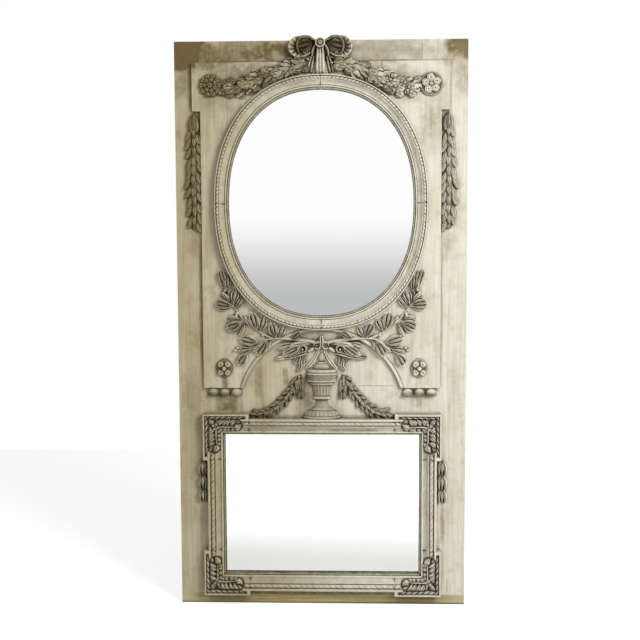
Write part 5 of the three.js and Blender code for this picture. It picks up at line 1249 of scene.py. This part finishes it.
def aged_paint(r, lights, grime_and_shade, relief=0.0, brush="turned", worn=0.0, wash_and_shade=(0.0, 0.0), climb=0.60):
    """Old brushed paint: drab at the left and cream at the right, with runs, specks, cracks, dirt and painted
    shade.

    The lightness follows x through a ramp between the two lights, shifted by broad noise, and a brown wash lies
    over all of it by its own ramp along x; both ramps are partly the paint's own tone and partly painted shade,
    darker to the left. The stains are soft patches on the front whose edges a noise has bent, and some patches
    and strips are painted shadow beside and under raised parts. Dirt and painted shade lie together where the
    surface is closed in, by the given distance and range, and, on carving, where its relief is lower than climb.
    Relief is how far carved crests are rubbed clean and painted as highlights, and worn is how far edges are bare.
    """
    paint = bpy.context.scene.trumeau_paint
    x, y = r.axes()[:2]
    front = r.between(y, -0.006, -0.011)
    broad = r.noise(r.scaled((1.0, 1.0, 0.55)), 6.0, 4.0)
    # The ramp along x is partly the paint's own tone and partly painted shade that darkens the left, away from the
    # key lamp.
    tone = r.maths("ADD", r.between(x, -0.50, 0.42, *lights), r.between(broad, 0.3, 0.7, -0.17, 0.17))
    body = r.mix(r.maths("ADD", tone, 0.0, clamp=True), paint.drab_and_shade, paint.cream)
    grain_scale = {"upright": (95.0, 95.0, 5.0), "level": (5.0, 95.0, 95.0), "turned": (40.0, 40.0, 40.0)}[brush]
    streaks = r.noise(r.scaled(grain_scale), 1.0, 5.0, 0.6)
    body = r.mix(r.between(streaks, 0.30, 0.72, 0.0, 0.30), body, (0.44, 0.39, 0.26), "MULTIPLY")
    cloud = r.noise(r.place, 24.0, 5.0, 0.62)
    body = r.mix(r.between(cloud, 0.50, 0.76, 0.0, 0.32), body, (0.58, 0.50, 0.32), "MULTIPLY")
    fine = r.noise(r.place, 60.0, 6.0, 0.7)
    mottle = r.between(fine, 0.28, 0.62, 0.45, 1.0)
    # The brown wash is stronger to the left: partly real staining, partly painted shade.
    wash_and_shade_share = r.maths("MULTIPLY", r.between(x, -0.45, 0.40, *wash_and_shade), r.between(fine, 0.30, 0.65, 1.15, 0.75),
                     clamp=True)
    body = r.mix(wash_and_shade_share, body, paint.stain_and_shadow)
    bent = r.node("TexNoise", {"Vector": r.place, "Scale": 17.0, "Detail": 3.0}).outputs["Color"]
    shift = r.vector("SUBTRACT", bent, (0.5, 0.5, 0.5))
    far = r.vector("ADD", r.place, r.vector("MULTIPLY", shift, (0.07, 0.0, 0.12)))
    near = r.vector("ADD", r.place, r.vector("MULTIPLY", shift, (0.010, 0.0, 0.008)))
    for spots, shape, place, shade in ((STAINS_AND_SHADE, r.patch, far, paint.stain_and_shadow), (RUNS, r.patch, near, paint.rust),
                                       (LINES_AND_SHADOWS, r.band, near, paint.stain_and_shadow)):
        total = functools.reduce(lambda so_far, one: r.maths("MAXIMUM", so_far, one),
                                 [shape(place, *spot) for spot in spots])
        body = r.mix(r.maths("MULTIPLY", r.maths("MULTIPLY", total, front), mottle), body, shade)
    blots = r.between(r.noise(r.scaled((1.0, 1.0, 0.7)), 15.0, 5.0, 0.65), 0.56, 0.70, 0.0, 0.34)
    body = r.mix(blots, body, (0.60, 0.50, 0.31), "MULTIPLY")
    drips = r.between(r.noise(r.scaled((26.0, 26.0, 1.6)), 1.0, 3.0), 0.62, 0.74, 0.0, 0.32)
    body = r.mix(drips, body, (0.52, 0.43, 0.26), "MULTIPLY")
    specks = r.maths("MULTIPLY", r.between(r.cells(130.0), 0.10, 0.2, 1.0, 0.0),
                     r.between(r.noise(r.place, 33.0, 2.0), 0.55, 0.66))
    body = r.mix(r.maths("MULTIPLY", specks, 0.65), body, paint.grime_and_shade)
    # Dirt and painted shade together: darker where the surface is closed in, and on carving where its relief is
    # low.
    dirt_and_shade = r.between(r.openness(grime_and_shade[0]), grime_and_shade[1], grime_and_shade[2], 1.0, 0.0)
    if relief:
        crest = r.node("Attribute", attribute_name="relief", attribute_type="GEOMETRY").outputs["Fac"]
        dirt_and_shade = r.maths("MAXIMUM", dirt_and_shade, r.between(crest, 0.05, climb, 1.0, 0.0))
        # Crests are lightened as rubbed paint and as painted highlight, paler to the right.
        rubbed_and_highlit = r.maths("MULTIPLY", r.between(crest, 0.62, 0.95), r.between(fine, 0.35, 0.6, 0.40, 1.0))
        body = r.mix(r.maths("MULTIPLY", rubbed_and_highlit, relief), body,
                     r.mix(r.between(x, -0.45, 0.30), (0.43, 0.385, 0.255), (0.72, 0.685, 0.56)))
    patchy = r.between(r.noise(r.place, 46.0, 4.0, 0.6), 0.25, 0.62, 0.60, 1.0)
    dirt_and_shade_share = r.maths("MULTIPLY", r.maths("MULTIPLY", dirt_and_shade, patchy), paint.grime_and_shade_amount)
    body = r.mix(dirt_and_shade_share, body, paint.grime_and_shade)
    if worn:
        edge = r.node("Bevel", {"Radius": 0.0022}, samples=6).outputs[0]
        same = r.vector("DOT_PRODUCT", edge, r.node("NewGeometry").outputs["Normal"], output="Value")
        chipped = r.between(r.noise(r.place, 38.0, 5.0, 0.7), 0.46, 0.60)
        bare = r.maths("MULTIPLY", r.between(same, 0.80, 0.985, 1.0, 0.0), chipped)
        body = r.mix(r.maths("MULTIPLY", bare, worn), body, paint.edge)
    height = r.maths("ADD", r.maths("MULTIPLY", streaks, 0.7), r.maths("MULTIPLY", cloud, 0.5))
    height = r.maths("SUBTRACT", height, r.maths("MULTIPLY", specks, 0.3))
    rough = r.between(cloud, 0.3, 0.7, 0.50, 0.72)
    return r.finish(body, rough, (height, 0.35, 0.0012), Specular_IOR_Level=0.15)


def plinth_paint(r):
    """The plinth board: flat olive paint, scuffed pale along its face, paler at its ends and dark along its lowest
    6 mm.

    Painted shadow lies on it under the frame's ears, and dirt with painted shade where other parts close it in.
    """
    paint = bpy.context.scene.trumeau_paint
    x, _, z = r.axes()
    long_scuff = r.noise(r.scaled((3.0, 30.0, 120.0)), 1.0, 5.0, 0.6)
    cloud = r.noise(r.place, 30.0, 5.0, 0.6)
    body = r.mix(r.between(long_scuff, 0.35, 0.65), paint.plinth, (0.21, 0.17, 0.075))
    body = r.mix(r.between(cloud, 0.45, 0.7, 0.0, 0.5), body, (0.37, 0.32, 0.17))
    body = r.mix(r.between(r.maths("ABSOLUTE", x), 0.42, 0.50, 0.0, 0.5), body, (0.52, 0.48, 0.36))
    # Painted shadow under the lower frame's ears.
    under = [r.band(r.place, side * 0.34, 0.02, 0.085, 0.03, 0.55) for side in (-1, 1)]
    body = r.mix(r.maths("MAXIMUM", *under), body, paint.stain_and_shadow)
    body = r.mix(r.between(z, 0.0, 0.006, 0.75, 0.0), body, paint.stain_and_shadow)
    # Dirt and painted shade where other parts close the board in.
    body = r.mix(r.between(r.openness(0.012), 0.4, 1.0, 0.85, 0.0), body, paint.grime_and_shade)
    return r.finish(body, r.between(cloud, 0.3, 0.7, 0.55, 0.75), (long_scuff, 0.3, 0.001), Specular_IOR_Level=0.3)


def bare_wood(r):
    """Softwood gone brown with age: waves along x drawn out into grain, dark fibres and paler patches of dust."""
    warp = r.noise(r.scaled((2.0, 8.0, 8.0)), 1.0, 3.0)
    inputs = {"Vector": r.scaled((1.2, 22.0, 22.0)), "Scale": 1.0, "Distortion": 7.0, "Detail": 4.0,
              "Detail Scale": 1.6}
    grain = r.node("TexWave", inputs, wave_type="BANDS", bands_direction="Z").outputs["Fac"]
    fibre = r.noise(r.scaled((6.0, 260.0, 260.0)), 1.0, 4.0, 0.6)
    wood = tuple(bpy.context.scene.trumeau_paint.wood)
    body = r.mix(r.between(grain, 0.2, 0.9), (wood[0] * 1.5, wood[1] * 1.5, wood[2] * 1.45), wood)
    body = r.mix(r.between(fibre, 0.35, 0.7, 0.0, 0.55), body, (0.09, 0.055, 0.03))
    body = r.mix(r.between(warp, 0.5, 0.75, 0.0, 0.45), body, (0.27, 0.21, 0.14))
    return r.finish(body, r.between(fibre, 0.3, 0.7, 0.62, 0.85), (fibre, 0.4, 0.0012), Specular_IOR_Level=0.25)


def silvered_glass(r, clear, full, reflection_grey):
    """Silvered plate with a painted reflection that goes grey downwards, between the heights clear and full in
    metres.
    """
    cloud = r.noise(r.scaled((1.0, 1.0, 0.6)), 4.0, 3.0)
    height = r.maths("ADD", r.axes()[2], r.maths("MULTIPLY", cloud, 0.012))
    # Painted reflection: the plate is greyer lower down, where a grey floor would be seen in it.
    body = r.mix(r.between(height, full, clear, 1.0, 0.0), (0.985, 0.985, 0.98), reflection_grey)
    rare = r.between(r.noise(r.place, 11.0, 2.0), 0.66, 0.74)
    spots = r.maths("MULTIPLY", r.between(r.cells(70.0), 0.03, 0.09, 1.0, 0.0), rare)
    body = r.mix(r.maths("MULTIPLY", spots, 0.5), body, (0.35, 0.33, 0.30))
    return r.finish(body, r.between(cloud, 0.3, 0.7, 0.02, 0.045), Metallic=1.0)


def dull_steel(r):
    """Old steel: grey with brown bloom in a fine noise, and scratches along x."""
    scratch = r.noise(r.scaled((20.0, 400.0, 400.0)), 1.0, 4.0)
    bloom = r.noise(r.place, 120.0, 5.0, 0.65)
    body = r.mix(r.between(scratch, 0.3, 0.7), (0.33, 0.32, 0.31), (0.46, 0.45, 0.43))
    body = r.mix(r.between(bloom, 0.52, 0.66, 0.0, 0.8), body, (0.20, 0.11, 0.055))
    return r.finish(body, r.between(bloom, 0.4, 0.7, 0.34, 0.62), (scratch, 0.2, 0.0004), Metallic=0.9)


# Each kind of finish: what makes it, and its settings.
FINISHES = {
    # Lights and wash give the left and right ends of ramps along x. The ramps are partly painted shade, darker to
    # the left.
    "ground_upright": (aged_paint, dict(lights=(0.16, 1.0), grime_and_shade=(0.018, 0.25, 0.88), brush="upright", worn=0.8)),
    "ground_level": (aged_paint, dict(lights=(0.02, 0.85), grime_and_shade=(0.018, 0.25, 0.88), brush="level", worn=0.8,
                                      wash_and_shade=(0.12, 0.08))),
    "field": (aged_paint, dict(lights=(0.34, 0.95), grime_and_shade=(0.014, 0.25, 0.86), brush="upright", worn=0.9)),
    "oval_frame": (aged_paint, dict(lights=(0.25, 1.4), grime_and_shade=(0.010, 0.20, 0.80), relief=0.4, wash_and_shade=(0.26, 0.02),
                                    climb=0.5)),
    "lower_frame": (aged_paint, dict(lights=(0.20, 1.25), grime_and_shade=(0.010, 0.25, 0.85), relief=0.5,
                                     wash_and_shade=(0.32, 0.10), climb=0.5)),
    "corner": (aged_paint, dict(lights=(0.28, 1.15), grime_and_shade=(0.012, 0.25, 0.92), relief=0.7, wash_and_shade=(0.32, 0.20),
                                climb=0.5)),
    "carving": (aged_paint, dict(lights=(0.36, 1.1), grime_and_shade=(0.011, 0.30, 0.95), relief=0.7, wash_and_shade=(0.08, 0.0),
                                 climb=0.50)),
    "garland": (aged_paint, dict(lights=(-0.15, 0.85), grime_and_shade=(0.028, 0.42, 1.0), relief=0.85, wash_and_shade=(0.52, 0.22),
                                 climb=0.97)),
    "urn": (aged_paint, dict(lights=(0.56, 0.82), grime_and_shade=(0.026, 0.38, 1.0), relief=0.6, wash_and_shade=(0.44, 0.34),
                             climb=0.84)),
    "plinth": (plinth_paint, {}),
    "wood": (bare_wood, {}),
    # The glasses' grey towards the bottom is a painted reflection.
    "oval_glass": (silvered_glass, dict(clear=1.434, full=1.10, reflection_grey=(0.50, 0.51, 0.505))),
    "rect_glass": (silvered_glass, dict(clear=0.40, full=0.14, reflection_grey=(0.565, 0.575, 0.56))),
    "steel": (dull_steel, {}),
}


def finish_for(kind):
    """The material of a kind, made the first time it is asked for."""
    name = f"trumeau_{kind}"
    if name in bpy.data.materials:
        return bpy.data.materials[name]
    maker, settings = FINISHES[kind]
    return maker(Recipe(bpy.data.materials.new(name)), **settings)


def dress(kind, *nodes):
    """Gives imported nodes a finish."""
    for node in nodes:
        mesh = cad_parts[node].data
        mesh.materials.clear()
        mesh.materials.append(finish_for(kind))


def carve(kind, name, surfaces, node, crease=CARVED_CREASE):
    """One carved piece in a finish, in place of one node."""
    slot = "frame_paint" if kind in ("oval_frame", "lower_frame") else "carving_paint"
    return make_piece(name, surfaces, finish_for(kind), slot, node, crease=crease)


# ---------------------------------------------------------------- operators


class TrumeauStep:
    """Shared settings of the steps below."""

    bl_options = {"REGISTER", "UNDO"}


class TRUMEAU_OT_boards(TrumeauStep, bpy.types.Operator):
    """Paint the carcase boards, the raised field and the plinth, and run a bead along the arch"""

    bl_idname = "trumeau.boards"
    bl_label = "Paint Boards"

    def execute(self, context):
        dress("ground_upright", "stile_left", "stile_right", "arch_panel", "mid_rail")
        dress("ground_level", "bottom_rail", "top_rail")
        dress("field", "field_left", "field_right", "field_head")
        dress("plinth", "plinth_board")
        make_piece("arch_edge_bead", arch_bead(), finish_for("oval_frame"), "field_paint")
        return {"FINISHED"}


class TRUMEAU_OT_back(TrumeauStep, bpy.types.Operator):
    """Finish the back: bare battens and back boards, and the steel hanging plates with their screws"""

    bl_idname = "trumeau.back"
    bl_label = "Finish Back"

    def execute(self, context):
        dress("wood", "batten_top", "batten_middle", "batten_bottom", "oval_back_board", "rect_back_board")
        dress("steel", "hanging_plate_left", "hanging_plate_right", "hanging_screw_left", "hanging_screw_right")
        return {"FINISHED"}


class TRUMEAU_OT_glass(TrumeauStep, bpy.types.Operator):
    """Silver the two mirror plates, each with a painted reflection that greys downwards"""

    bl_idname = "trumeau.glass"
    bl_label = "Silver Mirrors"

    def execute(self, context):
        dress("oval_glass", "oval_mirror_plate")
        dress("rect_glass", "rect_mirror_plate")
        return {"FINISHED"}


class TRUMEAU_OT_oval_frame(TrumeauStep, bpy.types.Operator):
    """Carve the oval frame in four quarters, with pearls at the sight edge and a cut band outside"""

    bl_idname = "trumeau.oval_frame"
    bl_label = "Carve Oval Frame"

    def execute(self, context):
        carving = context.scene.trumeau_carving
        count = max(8, int(round(OVAL_QUARTER / carving.oval_band_pitch)))
        for index, name in enumerate(("top_right", "top_left", "bottom_left", "bottom_right")):
            quarter = oval_length(np.pi / 2 * index, np.pi / 2 * (index + 1), count, carving)
            carve("oval_frame", f"oval_frame_carved_{name}", quarter, f"oval_frame_{name}")
        return {"FINISHED"}


class TRUMEAU_OT_lower_frame(TrumeauStep, bpy.types.Operator):
    """Carve the four straight lengths of the lower frame"""

    bl_idname = "trumeau.lower_frame"
    bl_label = "Carve Lower Frame"

    def execute(self, context):
        carving = context.scene.trumeau_carving
        for name, quarter in (("top", 0), ("left", 1), ("bottom", 2), ("right", 3)):
            low, high = reach(f"rect_frame_{name}")
            middle_x, middle_z = (low[0] + high[0]) / 2, (low[2] + high[2]) / 2
            span = high[0] - low[0] if name in ("top", "bottom") else high[2] - low[2]
            origin = {"top": (middle_x, high[2] - LOWER_WIDTH), "bottom": (middle_x, low[2] + LOWER_WIDTH),
                      "left": (low[0] + LOWER_WIDTH, middle_z), "right": (high[0] - LOWER_WIDTH, middle_z)}[name]
            surfaces = placed(straight_length(span, carving), quarter, origin)
            carve("lower_frame", f"lower_frame_carved_{name}", surfaces, f"rect_frame_{name}")
        return {"FINISHED"}


class TRUMEAU_OT_corners(TrumeauStep, bpy.types.Operator):
    """Carve the four eared corners of the lower frame"""

    bl_idname = "trumeau.corners"
    bl_label = "Carve Frame Corners"

    def execute(self, context):
        carving = context.scene.trumeau_carving
        seed = 61
        for end_name, end in (("top", 1), ("bottom", -1)):
            for side_name, side in SIDES:
                carve("corner", f"eared_corner_{end_name}_{side_name}", carved_corner(side, end, carving, seed),
                      f"frame_corner_{end_name}_{side_name}")
                seed += 2
        return {"FINISHED"}


class TRUMEAU_OT_bow(TrumeauStep, bpy.types.Operator):
    """Carve the bow: two hollow loops, and the button, tie and folds between them"""

    bl_idname = "trumeau.bow"
    bl_label = "Carve Bow"

    def execute(self, context):
        for name, side in SIDES:
            carve("garland", f"ribbon_loop_{name}", bow_loop(side), f"bow_loop_{name}")
        carve("garland", "ribbon_tie_and_button", bow_tie(), "bow_tie")
        return {"FINISHED"}


class TRUMEAU_OT_garlands(TrumeauStep, bpy.types.Operator):
    """Carve the laurel garlands, and the rosettes that they hang from"""

    bl_idname = "trumeau.garlands"
    bl_label = "Carve Garlands"

    def execute(self, context):
        for name, side in SIDES:
            leaves = laurel_garland(side, context.scene.trumeau_carving)
            carve("garland", f"laurel_leaves_{name}", leaves, f"laurel_garland_{name}")
            low, high = reach(f"top_rosette_{name}")
            centre, radius = np.array([(low[0] + high[0]) / 2, (low[2] + high[2]) / 2]), (high[0] - low[0]) / 2
            flower = leafy_rosette if side < 0 else drilled_rosette
            carve("garland", f"garland_rosette_{name}", flower(centre, radius, FIELD_OUT), f"top_rosette_{name}")
        return {"FINISHED"}


class TRUMEAU_OT_side_garlands(TrumeauStep, bpy.types.Operator):
    """Carve the hanging braids beside the oval, and the strings of buds beside the lower frame"""

    bl_idname = "trumeau.side_garlands"
    bl_label = "Carve Side Garlands"

    def execute(self, context):
        for name, side in SIDES:
            braid = side_garland(side, context.scene.trumeau_carving)
            carve("garland", f"husk_braid_{name}", braid, f"side_garland_{name}")
            carve("carving", f"bud_string_{name}", frame_husks(side), f"frame_husk_{name}")
        return {"FINISHED"}


class TRUMEAU_OT_branches(TrumeauStep, bpy.types.Operator):
    """Carve the leafy branches beside the oval, the ribbon knot and the ribbon's tails"""

    bl_idname = "trumeau.branches"
    bl_label = "Carve Branches"

    def execute(self, context):
        for name, side in SIDES:
            carve("carving", f"leafy_branch_{name}", branch(side), f"branch_{name}")
            carve("carving", f"ribbon_end_{name}", ribbon_tail(side), f"ribbon_tail_{name}")
        carve("carving", "crossed_ribbon", ribbon_knot(), "ribbon_knot")
        return {"FINISHED"}


class TRUMEAU_OT_urn(TrumeauStep, bpy.types.Operator):
    """Turn the urn's foot, cup and lid"""

    bl_idname = "trumeau.urn"
    bl_label = "Turn Urn"

    def execute(self, context):
        for name, node, surface in zip(("urn_stem_and_foot", "urn_cup", "urn_lid_and_finial"),
                                       ("urn_foot", "urn_bowl", "urn_lid"), urn()):
            carve("urn", name, [surface], node, crease=TURNED_CREASE)
        return {"FINISHED"}


class TRUMEAU_OT_swags(TrumeauStep, bpy.types.Operator):
    """Carve the swags beside the urn and the short husk drops"""

    bl_idname = "trumeau.swags"
    bl_label = "Carve Swags"

    def execute(self, context):
        for name, side in SIDES:
            carve("garland", f"leaf_swag_{name}", leafy_swag(side), f"swag_{name}")
            carve("garland", f"short_husks_{name}", husk_drop(side), f"husk_drop_{name}")
        return {"FINISHED"}


class TRUMEAU_OT_feet(TrumeauStep, bpy.types.Operator):
    """Carve the oval flowers on the field's feet and the rounded drops under them"""

    bl_idname = "trumeau.feet"
    bl_label = "Carve Feet"

    def execute(self, context):
        for name, side in SIDES:
            carve("garland", f"foot_flower_{name}", foot_rosette(side), f"foot_rosette_{name}")
            carve("carving", f"rounded_drops_{name}", guttae(side), f"guttae_{name}", crease=TURNED_CREASE)
        return {"FINISHED"}


# The stage's corners in metres: a floor that ends a little behind the panel, and a backdrop far behind it.
FLOOR = [(-9, -9, 0), (9, -9, 0), (9, 2.6, 0), (-9, 2.6, 0)]
BACKDROP = [(-14, 9, -4), (14, 9, -4), (14, 9, 9), (-14, 9, 9)]
FLOOR_GLOW, PLANE_GREY = 0.57, 0.8


class TRUMEAU_OT_stage(TrumeauStep, bpy.types.Operator):
    """Set the floor, the backdrop, the lamps and the camera"""

    bl_idname = "trumeau.stage"
    bl_label = "Set Stage"

    def execute(self, context):
        stage = context.scene.trumeau_stage
        pale_plane("floor", FLOOR, FLOOR_GLOW)
        pale_plane("backdrop", BACKDROP, 1.0)
        lamp("key_light", (2.6, -3.15, 2.7), (0.0, 0.0, 1.05), 1.7, stage.key_power)
        lamp("fill_light", (-2.6, -3.2, 1.6), (0.0, 0.0, 1.0), 2.4, stage.fill_power)
        surround(context.scene, stage.ambient)
        context.scene.camera = photo_camera()
        context.scene.view_settings.view_transform = "Standard"
        return {"FINISHED"}


def pale_plane(name, corners, glow):
    """A stage plane that keeps shadows and is lifted towards white where the camera or a mirror sees it.

    There, a glow of 1 takes the place of the plane's own shade, and a smaller one is added to it.
    """
    mesh = bpy.data.meshes.new(name)
    mesh.from_pydata(corners, [], [(0, 1, 2, 3)])
    plane = bpy.data.objects.new(name, mesh)
    bpy.context.scene.collection.objects.link(plane)
    r = Recipe(bpy.data.materials.new(f"pale_{name}"))
    seen = r.seen()
    matt = r.node("BsdfDiffuse", {"Color": (PLANE_GREY, PLANE_GREY, PLANE_GREY, 1.0)}).outputs[0]
    light = r.node("Emission", {"Strength": r.maths("MULTIPLY", seen, glow)}).outputs[0]
    if glow >= 1.0:
        shade = r.node("MixShader", {0: seen, 1: matt, 2: light})
    else:
        shade = r.node("AddShader", {0: matt, 1: light})
    mesh.materials.append(r.ended(shade))


def surround(scene, ambient):
    """A world that is white where it is seen and gives an even light of its own strength everywhere else."""
    r = Recipe(bpy.data.worlds.new("studio"))
    strength = r.node("MapRange", {"Value": r.seen(), "To Min": ambient, "To Max": 1.0}).outputs[0]
    scene.world = r.ended(r.node("Background", {"Color": (1.0, 1.0, 1.0, 1.0), "Strength": strength}))


def lamp(name, place, target, size, power):
    """A square lamp that faces a target."""
    data = bpy.data.lights.new(name, "AREA")
    data.energy = power
    data.size = size
    light = bpy.data.objects.new(name, data)
    light.location = place
    aim = np.array(target, float) - np.array(place, float)
    light.rotation_euler = (np.arctan2(np.hypot(aim[0], aim[1]), -aim[2]), 0.0,
                            np.arctan2(aim[1], aim[0]) - np.pi / 2)
    bpy.context.scene.collection.objects.link(light)


# The camera as fitted to the photo: its place in metres, its yaw, pitch and roll in degrees, and its lens in mm.
CAMERA_PLACE = (0.1126, -3.5001, 1.3137)
CAMERA_TURNS = (-1.933, -4.661, -0.223)
CAMERA_LENS, CAMERA_SENSOR = 55.67, 36.0


def photo_camera():
    """The camera, about 3.5 m in front and level with the oval, turned a little to the left and down."""
    data = bpy.data.cameras.new("camera")
    data.lens = CAMERA_LENS
    data.sensor_width = CAMERA_SENSOR
    camera = bpy.data.objects.new("camera", data)
    yaw, pitch, roll = np.radians(CAMERA_TURNS)
    ahead = np.array([np.sin(yaw) * np.cos(pitch), np.cos(yaw) * np.cos(pitch), np.sin(pitch)])
    right = np.array([np.cos(yaw), -np.sin(yaw), 0.0])
    up = np.cross(right, ahead)
    turned = np.stack([right * np.cos(roll) + up * np.sin(roll), up * np.cos(roll) - right * np.sin(roll), -ahead])
    matrix = np.eye(4)
    matrix[:3, :3] = turned.T
    matrix[:3, 3] = CAMERA_PLACE
    bpy.context.scene.collection.objects.link(camera)
    camera.matrix_world = matrix.T
    return camera


STEPS = (
    TRUMEAU_OT_stage, TRUMEAU_OT_boards, TRUMEAU_OT_back, TRUMEAU_OT_glass, TRUMEAU_OT_oval_frame,
    TRUMEAU_OT_lower_frame, TRUMEAU_OT_corners, TRUMEAU_OT_bow, TRUMEAU_OT_garlands, TRUMEAU_OT_side_garlands,
    TRUMEAU_OT_branches, TRUMEAU_OT_urn, TRUMEAU_OT_swags, TRUMEAU_OT_feet,
)


class TRUMEAU_PT_panel(bpy.types.Panel):
    """The trumeau's sizes, colours and steps, in the 3D view's sidebar"""

    bl_label = "Trumeau Mirror"
    bl_idname = "TRUMEAU_PT_panel"
    bl_space_type = "VIEW_3D"
    bl_region_type = "UI"
    bl_category = "Trumeau"

    def draw(self, context):
        for group in (context.scene.trumeau_carving, context.scene.trumeau_paint, context.scene.trumeau_stage):
            box = self.layout.box()
            for key in group.bl_rna.properties.keys():
                if key not in ("rna_type", "name"):
                    box.prop(group, key)
        for step in STEPS:
            self.layout.operator(step.bl_idname)


CLASSES = (TrumeauCarving, TrumeauPaint, TrumeauStage, *STEPS, TRUMEAU_PT_panel)


def register():
    """Registers the classes and the scene's settings."""
    for item in CLASSES:
        bpy.utils.register_class(item)
    bpy.types.Scene.trumeau_carving = bpy.props.PointerProperty(type=TrumeauCarving)
    bpy.types.Scene.trumeau_paint = bpy.props.PointerProperty(type=TrumeauPaint)
    bpy.types.Scene.trumeau_stage = bpy.props.PointerProperty(type=TrumeauStage)


def unregister():
    """Takes the settings and the classes away again."""
    del bpy.types.Scene.trumeau_carving, bpy.types.Scene.trumeau_paint, bpy.types.Scene.trumeau_stage
    for item in reversed(CLASSES):
        bpy.utils.unregister_class(item)


def main():
    """Runs every step in order."""
    register()
    for step in STEPS:
        group, name = step.bl_idname.split(".")
        getattr(getattr(bpy.ops, group), name)()


if __name__ == "__main__":
    main()
